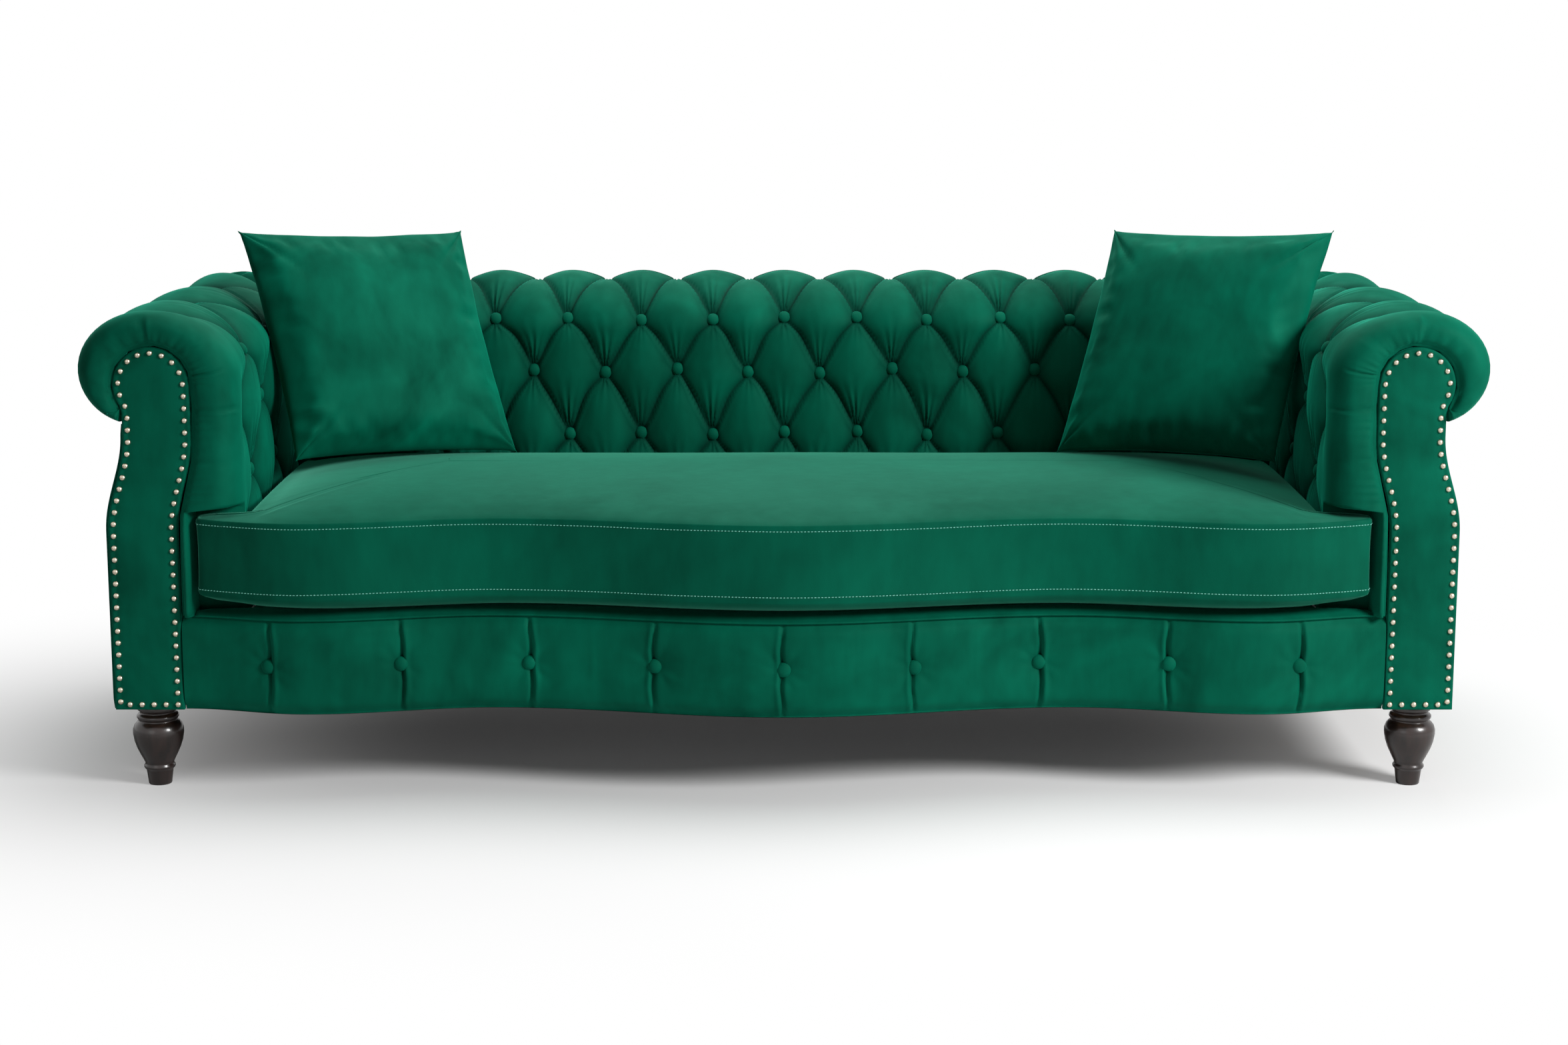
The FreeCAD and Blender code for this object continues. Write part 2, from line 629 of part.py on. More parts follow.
def cushion_section(z, grow, crown, least=EAR_LEAST):
    """A level of the cushion; crown runs from 0 at a seam to nearly 1 at the top of the crown."""
    right = cushion_outline(grow, 1)
    left = [(-x, y) for x, y in reversed(right[1:])]
    level = right + [(0.0, CUSHION_BACK + grow)] + left
    nose = FRONT + serpentine(EAR_HALF + grow) - CUSHION_OVERHANG - grow
    corners = []
    for x, y in level:
        body = min(abs(x), CUSHION_HALF) * (1 - CUSHION_NARROWS * crown)
        ear = max(abs(x) - CUSHION_HALF, 0.0) * max(1 - crown / EAR_CROWN, 0.02)
        drawn = CROWN_Y + (y - CROWN_Y) * (1 - crown)
        if y == EAR_BACK + grow:
            drawn = max(y, CROWN_Y + (nose - CROWN_Y) * (1 - crown) + least)
        corners.append(point(math.copysign(body + ear, x), drawn, z))
    return corners


def seat_cushion():
    low, high = CUSHION_SEAMS
    sections = [cushion_section(z, 0, crown) for z, crown in CUSHION_UNDER]
    sections += [cushion_section(low, 0, 0), cushion_section(low + 6, -1.5, 0),
                 cushion_section((low + high) / 2, -3.5, 0), cushion_section(high - 6, -1.5, 0)]
    for crown in (0, 0.03, 0.09, 0.2, 0.36, 0.58, 0.85):
        rise = (CUSHION_CROWN - high) * (1 - (1 - crown) ** 2.4)
        sections.append(cushion_section(high + rise, 0, crown))
    cover = line_loft(sections)
    core = line_loft([cushion_section(z, -24, 0, EAR_LEAST - 1) for z in (low + 2, high - 4)])
    space = line_loft([cushion_section(z, -23.5, 0) for z in (low + 1.5, high - 3.5)])
    save("seat_cushion_cover", cover.cut(space))
    save("seat_cushion_core", core)


# Scatter cushions: knife-edged squares, drawn in along their sides so that the corners stay pointed

def pillow_section(a, side, thick, seam, steps):
    """A section across the cushion at a, from -1 to 1."""
    places = [k / steps - 1 for k in range(2 * steps + 1)]
    near = []
    far = []
    for b in places:
        x = side / 2 * a * (1 - PILLOW_DRAWN_IN * (1 - b * b))
        z = side / 2 * b * (1 - PILLOW_DRAWN_IN * (1 - a * a))
        half = seam / 2 + thick / 2 * max((1 - a * a) * (1 - b * b), 0.0) ** 0.42
        near.append(point(x, -half, z))
        far.append(point(x, half, z))
    return near + far[::-1]


def pillow(side, thick, steps):
    """A cushion body with closer sections towards its ends, where it thins quickly."""
    places = [math.sin(math.pi / 2 * k / steps) for k in range(-steps, steps + 1)]
    sections = [pillow_section(a, side, thick, PILLOW_SEAM, steps) for a in places]
    return line_loft(sections, bent_ends=True)


def stand(shape, middle, yaw, lean, tip):
    """Tip about the cushion's own face, lean back, turn, and move to its place."""
    shape.rotate(point(0, 0, 0), point(0, 1, 0), tip)
    shape.rotate(point(0, 0, 0), point(1, 0, 0), lean)
    shape.rotate(point(0, 0, 0), point(0, 0, 1), yaw)
    shape.translate(middle)
    return shape


PILLOW_POSES = {
    "left_scatter": (point(-715.5, FRONT + 468, 693.9), 28.0, -20.0, 2.0),
    "right_scatter": (point(719.5, FRONT + 438, 697.0), -31.0, -20.0, -2.0),
}


def scatter_cushions():
    for name, pose in PILLOW_POSES.items():
        cover = pillow(PILLOW, PILLOW_THICK, 6)
        filling = pillow(PILLOW - PILLOW_FILL_GAP, PILLOW_THICK - PILLOW_FILL_GAP, 3)
        space = pillow(PILLOW - PILLOW_FILL_GAP + 1, PILLOW_THICK - PILLOW_FILL_GAP + 1, 3)
        save(name + "_cover", stand(cover.cut(space), *pose))
        save(name + "_filling", stand(filling, *pose))


os.makedirs("parts", exist_ok=True)
back_tufted_pad()
arm_tufted_pad()
buttons()
facings()
shells()
frame_timbers()
front_rail()
deck()
linings()
feet()
seat_cushion()
scatter_cushions()
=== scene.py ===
import bpy
import bmesh
import json
import random
from math import asin, atan2, copysign, cos, degrees, exp, floor, hypot, pi, radians, sin, sqrt
from mathutils import Matrix, Vector, noise


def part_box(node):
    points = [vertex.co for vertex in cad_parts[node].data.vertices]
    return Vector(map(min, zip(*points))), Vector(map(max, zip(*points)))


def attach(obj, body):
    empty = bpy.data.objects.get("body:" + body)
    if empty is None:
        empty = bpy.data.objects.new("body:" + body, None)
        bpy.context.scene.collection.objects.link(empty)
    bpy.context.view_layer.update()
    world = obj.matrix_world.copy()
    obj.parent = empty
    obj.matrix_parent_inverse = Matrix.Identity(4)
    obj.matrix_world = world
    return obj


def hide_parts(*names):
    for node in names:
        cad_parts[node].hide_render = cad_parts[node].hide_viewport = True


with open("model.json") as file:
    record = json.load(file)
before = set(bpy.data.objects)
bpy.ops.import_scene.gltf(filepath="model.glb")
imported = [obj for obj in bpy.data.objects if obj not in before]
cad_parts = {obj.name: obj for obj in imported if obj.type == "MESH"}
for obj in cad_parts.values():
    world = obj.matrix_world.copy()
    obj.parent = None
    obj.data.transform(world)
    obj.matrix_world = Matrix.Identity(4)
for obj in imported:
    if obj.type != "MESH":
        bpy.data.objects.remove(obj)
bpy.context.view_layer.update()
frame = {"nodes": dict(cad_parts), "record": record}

# metres, in the CAD frame. t runs outwards from the inner face of an arm or of the back, z is the height
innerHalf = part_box("right_arm_tufted_pad")[0].x
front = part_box("right_facing_panel")[0].y
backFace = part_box("back_tufted_pad")[0].y
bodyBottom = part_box("right_facing_panel")[0].z
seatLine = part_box("front_rail_pad")[1].z
sides = (("left", -1), ("right", 1))


def mix(low, high, share):
    return low + (high - low) * share


def clamp(share):
    return min(max(share, 0.0), 1.0)


def smooth(share):
    share = clamp(share)
    return share * share * (3 - 2 * share)


def bump(distance, width):
    return exp(-(distance / width) ** 2)


def turned(axis):
    return Vector(axis).to_track_quat("Z", "Y").to_matrix().to_4x4()


def uneven(x, y, z):
    return noise.noise(Vector((x, y, z)))


def halfWave(low, high, share):
    return mix(low, high, (1 - cos(pi * clamp(share))) / 2)


def between(knots, where):
    for (x0, y0), (x1, y1) in zip(knots, knots[1:]):
        if where <= x1:
            return mix(y0, y1, max(where - x0, 0.0) / (x1 - x0))
    return knots[-1][1]


def throughPoints(points, share):
    # a smooth curve through the points, share from 0 to 1
    place = share * (len(points) - 1)
    k = min(int(place), len(points) - 2)
    s = place - k
    p = [points[min(max(i, 0), len(points) - 1)] for i in (k - 1, k, k + 1, k + 2)]
    return [((2 * b) + (c - a) * s + (2 * a - 5 * b + 4 * c - d) * s * s + (3 * b - a - 3 * c + d) * s ** 3) / 2
            for a, b, c, d in zip(*p)]


def finishPiece(name, bm, replaced, slot="velvet", body="frame", material=None):
    # the bmesh becomes a piece that rides on a body and stands for a CAD node
    bmesh.ops.remove_doubles(bm, verts=bm.verts, dist=1e-6)
    bmesh.ops.recalc_face_normals(bm, faces=bm.faces)
    mesh = bpy.data.meshes.new(name)
    bm.to_mesh(mesh)
    bm.free()
    mesh.shade_smooth()
    piece = bpy.data.objects.new(name, mesh)
    bpy.context.scene.collection.objects.link(piece)
    mesh.materials.append(material or slotMaterials[slot])
    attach(piece, body)
    if replaced:
        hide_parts(replaced)
    print("made", name, len(mesh.polygons), "faces")
    return piece


def cutCreases(bm):
    # every quad is split along its deeper diagonal, so that folds run clean
    sunk = bm.verts.layers.float["fold"]
    for face in list(bm.faces):
        if len(face.verts) == 4:
            a, b, c, d = face.verts
            if a[sunk] + c[sunk] > b[sunk] + d[sunk]:
                bmesh.utils.face_split(face, a, c)
            else:
                bmesh.utils.face_split(face, b, d)


def closeEnds(bm):
    bmesh.ops.remove_doubles(bm, verts=bm.verts, dist=1e-6)
    loose = [edge for edge in bm.edges if edge.is_boundary]
    if loose:
        bmesh.ops.holes_fill(bm, edges=loose, sides=0)


def bentGrid(columns, rows, place):
    # a grid of faces; place(column, row) gives each vertex its point and its depth in a fold. The depth is kept
    # in the fold layer, from which the velvet paints shade into the folds
    bm = bmesh.new()
    bmesh.ops.create_grid(bm, x_segments=columns, y_segments=rows, size=0.5)
    sunk = bm.verts.layers.float.new("fold")
    for vert in bm.verts:
        vert.co, vert[sunk] = place(round((vert.co.x + 0.5) * columns), round((vert.co.y + 0.5) * rows))
    return bm


def sheet(columns, rows, thick, place):
    # the same with a thickness, placed by shares from 0 to 1
    bm = bentGrid(columns, rows, lambda column, row: (place(column / columns, row / rows), 0.0))
    bmesh.ops.recalc_face_normals(bm, faces=bm.faces)
    bmesh.ops.solidify(bm, geom=bm.faces[:], thickness=thick)
    return bm


def closedLevels(count, levels, place):
    # a grid wrapped into a ring of count faces, closed at its first and last level
    bm = bentGrid(count, levels - 1, lambda k, level: place(k % count, level))
    closeEnds(bm)
    return bm


# Materials

def newMaterial(name):
    material = bpy.data.materials.new(name)
    material.use_nodes = True
    return material, material.node_tree.nodes


def setInputs(node, values):
    for name, value in values.items():
        node.inputs[name].default_value = value


def addNode(nodes, kind, values=None, **settings):
    node = nodes.new("ShaderNode" + kind)
    for name, value in settings.items():
        setattr(node, name, value)
    setInputs(node, values or {})
    return node


def join(*pairs):
    # each pair is a node and its output, then a node and its input
    for source, output, target, socket in pairs:
        source.id_data.links.new(source.outputs[output], target.inputs[socket])


def makeNapGroup():
    # velvet pile: patches where the nap lies differently, brushed streaks and the fine tooth of the weave, with
    # painted shade: the colour darkens towards near black where the fold layer is deep
    group = bpy.data.node_groups.new("velvetNap", "ShaderNodeTree")
    for name, kind, way in (("Dark", "Color", "INPUT"), ("Light", "Color", "INPUT"),
                            ("Patch Scale", "Float", "INPUT"), ("Contrast", "Float", "INPUT"),
                            ("Color", "Color", "OUTPUT"), ("Roughness", "Float", "OUTPUT"),
                            ("Height", "Float", "OUTPUT")):
        group.interface.new_socket(name=name, in_out=way, socket_type="NodeSocket" + kind)
    nodes = group.nodes
    inside = nodes.new("NodeGroupInput")
    out = nodes.new("NodeGroupOutput")
    place = addNode(nodes, "TexCoord")
    patch = addNode(nodes, "TexNoise", {"Detail": 3.0, "Roughness": 0.55, "Distortion": 0.9})
    streak = addNode(nodes, "TexNoise", {"Scale": 38.0, "Detail": 4.0})
    stretch = addNode(nodes, "Mapping", {"Scale": (1.0, 1.0, 0.35)})
    both = addNode(nodes, "Mix", {"Factor": 0.3}, data_type="FLOAT")
    spread = addNode(nodes, "MapRange", {"From Min": 0.3, "From Max": 0.7})
    amount = addNode(nodes, "Math", operation="MULTIPLY")
    colour = addNode(nodes, "Mix", data_type="RGBA")
    # painted shade: the deeper a point lies in a fold, pit or pleat, the darker its base colour
    fold = addNode(nodes, "Attribute", attribute_name="fold")
    foldShadeMask = addNode(nodes, "MapRange", {"From Min": 0.004, "From Max": 0.021, "To Max": 0.8},
                   interpolation_type="SMOOTHSTEP")
    paintedFoldShade = addNode(nodes, "Mix", {"B": (0.0, 0.012, 0.008, 1)}, data_type="RGBA")
    rough = addNode(nodes, "MapRange", {"To Min": 0.78, "To Max": 0.62})
    tooth = addNode(nodes, "TexNoise", {"Scale": 700.0, "Detail": 2.0})
    height = addNode(nodes, "Math", {1: 0.35}, operation="MULTIPLY_ADD")
    join((place, "Object", patch, "Vector"), (inside, "Patch Scale", patch, "Scale"),
         (place, "Object", stretch, "Vector"), (stretch, "Vector", streak, "Vector"),
         (patch, "Fac", both, "A"), (streak, "Fac", both, "B"), (both, "Result", spread, "Value"),
         (spread, "Result", amount, 0), (inside, "Contrast", amount, 1), (amount, "Value", colour, "Factor"),
         (inside, "Dark", colour, "A"), (inside, "Light", colour, "B"), (fold, "Fac", foldShadeMask, "Value"),
         (foldShadeMask, "Result", paintedFoldShade, "Factor"), (colour, "Result", paintedFoldShade, "A"), (paintedFoldShade, "Result", out, "Color"),
         (spread, "Result", rough, "Value"), (rough, "Result", out, "Roughness"),
         (place, "Object", tooth, "Vector"), (tooth, "Fac", height, 0), (streak, "Fac", height, 2),
         (height, "Value", out, "Height"))
    return group


velvetLooks = {
    "dark": (0.0, 0.052, 0.029),
    "light": (0.0003, 0.150, 0.086),
    "sheenTint": (0.015, 0.60, 0.38),
    # painted highlight: a whiter sheen tint for the seat cushion's copy of the velvet
    "seatHighlightTint": (0.16, 0.72, 0.50),
    "shader": {"Sheen Roughness": 0.34, "Specular IOR Level": 0.04},
    "relief": {"Strength": 0.22, "Distance": 0.0012},
}
napGroup = makeNapGroup()


def makeVelvet(name, patchScale=5.0, contrast=0.65, sheen=0.36, tint="sheenTint"):
    material, nodes = newMaterial(name)
    shader = nodes["Principled BSDF"]
    nap = addNode(nodes, "Group", {"Dark": (*velvetLooks["dark"], 1), "Light": (*velvetLooks["light"], 1),
                                   "Patch Scale": patchScale, "Contrast": contrast}, node_tree=napGroup)
    relief = addNode(nodes, "Bump", velvetLooks["relief"])
    setInputs(shader, {"Sheen Weight": sheen, "Sheen Tint": (*velvetLooks[tint], 1), **velvetLooks["shader"]})
    join((nap, "Color", shader, "Base Color"), (nap, "Roughness", shader, "Roughness"),
         (nap, "Height", relief, "Height"), (relief, "Normal", shader, "Normal"))
    return material


def makePlain(name, low, high, scale, roughness, metallic=0.0, stretch=(1, 1, 1), relief=0.1, depth=0.0005,
              coat=0.0):
    # one finish with its colour varied by stretched noise, and a relief from the same noise
    material, nodes = newMaterial(name)
    shader = nodes["Principled BSDF"]
    place = addNode(nodes, "TexCoord")
    turn = addNode(nodes, "Mapping", {"Scale": stretch})
    grain = addNode(nodes, "TexNoise", {"Scale": scale, "Detail": 6.0, "Distortion": 0.4})
    colours = addNode(nodes, "ValToRGB")
    for element, where, colour in zip(colours.color_ramp.elements, (0.35, 0.65), (low, high)):
        element.position = where
        element.color = (*colour, 1)
    rough = addNode(nodes, "MapRange", {"To Min": roughness * 0.8, "To Max": min(roughness * 1.2, 1.0)})
    surface = addNode(nodes, "Bump", {"Strength": relief, "Distance": depth})
    setInputs(shader, {"Metallic": metallic, "Coat Weight": coat, "Coat Roughness": 0.12})
    join((place, "Object", turn, "Vector"), (turn, "Vector", grain, "Vector"),
         (grain, "Fac", colours, "Fac"), (colours, "Color", shader, "Base Color"),
         (grain, "Fac", rough, "Value"), (rough, "Result", shader, "Roughness"),
         (grain, "Fac", surface, "Height"), (surface, "Normal", shader, "Normal"))
    return material


velvet = makeVelvet("velvet")
# painted highlight: the seat cushion gets a copy of the same velvet with a stronger, whiter sheen, so its top
# reads lighter than the rest of the cloth
seatVelvetPaintedSheen = makeVelvet("seatVelvetPaintedSheen", patchScale=3.0, contrast=0.45, sheen=0.62, tint="seatHighlightTint")
scatterVelvet = makeVelvet("scatterVelvet", patchScale=6.0, contrast=0.8, sheen=0.45)
stitchThread = makePlain("stitchThread", (0.10, 0.42, 0.33), (0.20, 0.55, 0.45), 900, 0.6)
slotMaterials = {
    "velvet": velvet,
    "buttons": velvet,
    "deck_cloth": velvet,
    "nails": makePlain("nailMetal", (0.50, 0.43, 0.33), (0.64, 0.57, 0.46), 160, 0.30, metallic=1.0,
                       relief=0.05),
    "foot_wood": makePlain("footWood", (0.006, 0.003, 0.002), (0.018, 0.008, 0.006), 30, 0.30,
                           stretch=(3, 3, 0.4), relief=0.06, coat=0.25),
    "board": makePlain("boardWood", (0.42, 0.29, 0.17), (0.62, 0.46, 0.30), 12, 0.6, stretch=(1, 1, 6)),
    "hardwood": makePlain("frameWood", (0.40, 0.24, 0.12), (0.60, 0.42, 0.25), 14, 0.55, stretch=(1, 1, 8)),
    "webbing": makePlain("juteWebbing", (0.16, 0.12, 0.07), (0.36, 0.28, 0.18), 260, 0.9,
                         relief=0.5, depth=0.001),
    "felt": makePlain("needledFelt", (0.34, 0.34, 0.33), (0.62, 0.62, 0.60), 180, 0.95,
                      relief=0.5, depth=0.001),
    "dust_cloth": makePlain("dustCloth", (0.008, 0.008, 0.008), (0.022, 0.022, 0.022), 320, 0.9, relief=0.4),
    "foam": makePlain("seatFoam", (0.66, 0.60, 0.40), (0.80, 0.74, 0.54), 240, 0.9, relief=0.4),
    "filling": makePlain("fibreFilling", (0.74, 0.74, 0.72), (0.88, 0.88, 0.86), 60, 0.95, relief=0.4),
    "bolt_steel": makePlain("boltSteel", (0.42, 0.42, 0.43), (0.60, 0.60, 0.60), 200, 0.35, metallic=1.0),
}
for subpart in frame["record"]["subparts"]:
    node = frame["nodes"][subpart["node"]]
    node.data.materials.clear()
    node.data.materials.append(slotMaterials[subpart["material_slot"]])
print("materials ready")

# The rolled section: v is 0 on the roll's crown, 1 to 5 down the rows of buttons to the seat,
# and -1 at the tack line under the roll

roll = {
    "crown": (0.148, 0.800),
    "inside": (0.148, 0.105),
    "outside": (0.114, 0.094),
    "tackAngle": -66.7,
    "rows": (0.730, 0.627, 0.512, 0.400, seatLine),
    "formerZ": 0.702,
    "formerInside": (0.096, 0.052),
    "formerOutside": (0.062, 0.052),
    "hiddenT": 0.052,
}
rowAngle = 180 - degrees(asin(1 - (roll["crown"][1] - roll["rows"][0]) / roll["inside"][1]))


def ellipsePoint(angle, z, inside, outside):
    half = inside if angle > 90 else outside
    turn = radians(angle)
    return roll["crown"][0] + half[0] * cos(turn), z + half[1] * sin(turn)


def angleAt(v):
    return 90 + (rowAngle - 90) * v if v >= 0 else 90 + (90 - roll["tackAngle"]) * v


def rowHeight(v):
    return between([(k + 1, z) for k, z in enumerate(roll["rows"])], v)


def crestPoint(v):
    if v <= 1:
        low = roll["inside" if v >= 0 else "outside"][1]
        return ellipsePoint(angleAt(v), roll["crown"][1] - low, roll["inside"], roll["outside"])
    rise = max(rowHeight(v) - roll["crown"][1] + roll["inside"][1], 0.0) / roll["inside"][1]
    return roll["crown"][0] - roll["inside"][0] * sqrt(1 - rise * rise), rowHeight(v)


def hiddenPoint(v):
    if v <= 1:
        return ellipsePoint(angleAt(v), roll["formerZ"], roll["formerInside"], roll["formerOutside"])
    return roll["hiddenT"], min(rowHeight(v), roll["formerZ"])


def outwards(v):
    t0, z0 = crestPoint(min(v + 0.02, 5.0))
    t1, z1 = crestPoint(v - 0.02)
    length = hypot(t1 - t0, z1 - z0)
    return (z0 - z1) / length, (t1 - t0) / length


# Deep buttoning. u counts half pitches along the sofa and r the rows. Buttons stand where u + r + shift is even

tufts = {
    "fold": 0.0175,         # from the crests down to the folds
    "pit": 0.0085,          # deeper again at a button
    "pillow": 0.56,         # smaller is a fuller pillow with a sharper fold
    "pitWidth": 0.085,      # of the button's pit, in pitches
    "lip": 0.0021,          # the pleat's rounded lip beside each fold
    "lipPlace": 0.0062,
    "lipWidth": 0.0032,
    "gather": 0.0032,       # fine gathers above and below the buttons
    "gatherFan": 0.42,      # how wide they fan out, in radians
    "gatherUp": (0.034, 1.5),      # reach and strength above a button
    "gatherDown": (0.022, 1.1),    # and below it
    "rowStep": 0.108,       # from row to row, and over the crown
    "crownStep": 0.14,
    "wander": 0.048,        # uneven hand work, in pitches
    "bow": 0.09,            # folds bow outwards
    "lastFold": (4.9, 0.5),        # the folds end at this row, over this many rows
    "crowding": 0.4,        # how much closer together the mesh is at the buttons
}
buttonSeed = random.Random(4)
buttonHabits = {(i, j): (buttonSeed.uniform(0, 6.3), buttonSeed.uniform(0.7, 1.3), buttonSeed.uniform(22, 30))
                for i in range(-15, 16) for j in range(-1, 7)}


def realRow(r):
    # the pattern's rows as v, with the folds bowed between the buttons
    if r <= 0:
        return r
    share = r - floor(r)
    return floor(r) + share - tufts["bow"] * sin(pi * share) ** 2


def wander(u, r, seed, limit):
    fade = 1 - (abs(u) / limit) ** 6 if abs(u) < limit else 0.0
    fade *= smooth((4.8 - r) / 0.8)
    a = uneven(u * 0.8, r * 0.9, seed)
    b = uneven(u * 0.8 + 40, r * 0.9, seed)
    return a * tufts["wander"] * 2 * fade, b * tufts["wander"] * 2 * fade * smooth(r)


def tuftDepth(u, r, shift, halfPitch):
    row = max(r, 0.0)
    p = (u + row + shift) / 2
    q = (u - row + shift) / 2
    p -= round(p)
    q -= round(q)
    pillow = (sin(pi * abs(p)) * sin(pi * abs(q))) ** tufts["pillow"]
    pit = bump(hypot(p, q), tufts["pitWidth"])
    width = halfPitch * 1.7
    beside, broad = tufts["lipPlace"], tufts["lipWidth"]
    lips = bump(p * width - beside, broad) + bump(q * width + beside, broad)
    depth = tufts["fold"] * (1 - pillow) + tufts["pit"] * pit - tufts["lip"] * lips * (1 - pit)
    fade = 1 + 0.8 * min(r, 0.0)
    return depth * fade + gatherDepth(u, r, shift, halfPitch) * fade


def gatherDepth(u, r, shift, halfPitch):
    # folds that fan out of the nearest button, mostly upwards
    total = 0.0
    i0 = round(u)
    for j in (floor(r), floor(r) + 1):
        if not 0 <= j <= 4:
            continue
        i = i0 if (i0 + j + shift) % 2 == 0 else (i0 + 1 if u > i0 else i0 - 1)
        phase, strength, count = buttonHabits[(i, j)]
        across = (u - i) * halfPitch
        up = (j - r) * tufts["rowStep" if j else "crownStep"]
        reach = hypot(across, up)
        angle = atan2(across, abs(up))
        window = bump(angle, tufts["gatherFan"]) * smooth((reach - 0.009) / 0.01)
        length, weight = tufts["gatherUp" if up > 0 else "gatherDown"]
        fall = exp(-reach / length) * weight
        total += tufts["gather"] * strength * window * fall * sin(count * angle + phase)
    return total


def foldFade(r):
    last, over = tufts["lastFold"]
    return smooth((last - r) / over)


def evenSteps(low, high, count):
    # pattern coordinates from low to high, closer together at the whole numbers, where the buttons are
    steps = []
    for k in range(round((high - low) * count) + 1):
        place = low + k / count
        cell = floor(place + 1e-9)
        share = place - cell
        steps.append(cell + share - tufts["crowding"] * sin(2 * pi * share) / (2 * pi))
    return steps


rowSteps = {
    "back": [k * 0.07 - 1.0 for k in range(8)] + evenSteps(-0.45, 3.4, 20)
            + [k / 10 for k in range(35, 44)] + [4.45, 4.6, 4.75, 4.88, 5.0],
    "arm": [-1.0, -0.97, -0.94, -0.91, -0.88] + evenSteps(-0.85, 4.05, 28)
           + [4.1, 4.2, 4.35, 4.5, 4.65, 4.8, 4.9, 5.0],
    "hidden": [5.0, 4.2, 3.4, 2.6, 1.8, 1.0, 0.7, 0.4, 0.1, -0.2, -0.4, -0.6, -0.8, -1.0],
}


def makePad(name, columns, rows, section, replaced):
    # a closed pad: for each column the crest rows run one way round and the hidden rows back again
    hidden = rowSteps["hidden"]
    around = len(rows) + len(hidden)

    def place(i, j):
        k = j % around
        if k < len(rows):
            return section(columns[i], rows[k], True)
        return section(columns[i], hidden[k - len(rows)], False)

    bm = bentGrid(len(columns) - 1, around, place)
    cutCreases(bm)
    closeEnds(bm)
    finishPiece(name, bm, replaced)


# Back

backPad = {
    "halfPitch": 0.066,
    "evenSteps": 11,
    "steps": 14,
    "perStep": 20,
    "seed": 3.1,
    "mitreFold": 0.014,
    "mitreWidth": 0.016,
    "mitreStep": 0.09,      # metres to the mitre for each step of u
}


def backPlace(u, t, z):
    even = min(abs(u), backPad["evenSteps"])
    x = backPad["halfPitch"] * even
    x += (abs(u) - even) * (innerHalf + t - x) / (backPad["steps"] - backPad["evenSteps"])
    return Vector((copysign(x, u), backFace + t, z))


def mitreDepth(depth, distance):
    # both pads sink to the same fold where they meet
    near = bump(distance, backPad["mitreWidth"])
    return depth * (1 - near) + backPad["mitreFold"] * near


def backDepth(u, r):
    depth = tuftDepth(u, r, 1, backPad["halfPitch"]) * foldFade(r)
    return mitreDepth(depth, (backPad["steps"] - abs(u)) * backPad["mitreStep"])


def backSection(u, r, shown):
    if not shown:
        return backPlace(u, *hiddenPoint(r)), 0.0
    du, dr = wander(u, r, backPad["seed"], backPad["steps"])
    v = min(max(realRow(r) + dr, -1.0), 5.0)
    t, z = crestPoint(v)
    across, up = outwards(v)
    depth = backDepth(u, r)
    return backPlace(u + du, t - across * depth, z - up * depth), depth


makePad("back_padding", evenSteps(-backPad["steps"], backPad["steps"], backPad["perStep"]), rowSteps["back"],
        backSection, "back_tufted_pad")


# Arms: behind the front rows of buttons they run like the back, and in front they turn in to the facing

armPad = {
    "halfPitch": 0.110,
    "first": 0.085,         # first row of buttons behind the facing's plane
    "evenSteps": 3,
    "steps": 5,
    "perStep": 28,
    "seed": 8.7,
    "mitreStep": 0.13,
    "frontSteps": 60,
    "frontCurve": ((0.002, 1.0), (-0.007, 0.88), (-0.0105, 0.66), (-0.0085, 0.42), (0.001, 0.22), (0.014, 0.09),
                   (0.030, 0.02), (0.047, 0.0), (0.066, 0.0), (0.085, 0.0)),
    "lip": 0.005,
    "notchT": 0.080,
    "notchRow": 3.31,
    "notchBehind": 0.044,
    # place on the edge, reach, depth
    "creases": ((0.0, 0.62, 0.0060), (0.50, 0.45, 0.0065), (0.62, 0.55, 0.0062), (1.18, 0.50, 0.0065),
                (1.86, 0.72, 0.0055), (2.62, 0.50, 0.0045), (-0.20, 0.45, 0.0058), (-0.30, 0.52, 0.0052),
                (-0.36, 0.40, 0.0044), (-0.62, 0.52, 0.0046)),
    "creaseWidth": 0.036,   # in rows, like the creases' places
    "creaseLip": (0.034, 0.45),
    "uneven": 0.0016,
}
panel = {
    "low": (0.102, 0.218),
    "neck": (0.074, 0.188),
    "waist": (0.440, 0.600),
    "head": (0.138, 0.683, 0.063),
    "headRow": 1.6,
    "headEnd": -37.0,
}


def panelSide(side, z):
    share = (z - panel["waist"][0]) / (panel["waist"][1] - panel["waist"][0])
    return halfWave(panel["low"][side], panel["neck"][side], share)


def panelEdge(v, inset):
    if v > panel["headRow"]:
        return panelSide(0, rowHeight(v)) + inset, rowHeight(v)
    angle = angleAt(v) if v <= 1 else mix(rowAngle, 180, (v - 1) / (panel["headRow"] - 1))
    turn = radians(max(angle, panel["headEnd"]))
    radius = panel["head"][2] - inset
    return panel["head"][0] + radius * cos(turn), panel["head"][1] + radius * sin(turn)


def armPlace(side, u, t, z):
    even = min(u, armPad["evenSteps"])
    y = front + armPad["first"] + armPad["halfPitch"] * even
    y += (u - even) * (backFace + t - y) / (armPad["steps"] - armPad["evenSteps"])
    return Vector((side * (innerHalf + t), y - 0.0005, z))


def creaseDepth(v, share):
    # stitched-in creases that run out from the facing
    total = 0.0
    width = armPad["creaseWidth"]
    beside, lip = armPad["creaseLip"]
    for place, reach, depth in armPad["creases"]:
        bent = place + 0.030 * uneven(share * 3.5, place * 9, 1.0)
        total += depth * bump(v - bent, width) * smooth((reach - share) / 0.25)
        total -= depth * lip * bump(v - bent - beside, width) * smooth((reach - share) / 0.25)
    total += 0.0011 * sin(v * 47 + 3 * uneven(v * 2, share, 6.0)) * bump(share - 0.12, 0.16)
    return total * smooth(share / 0.06)


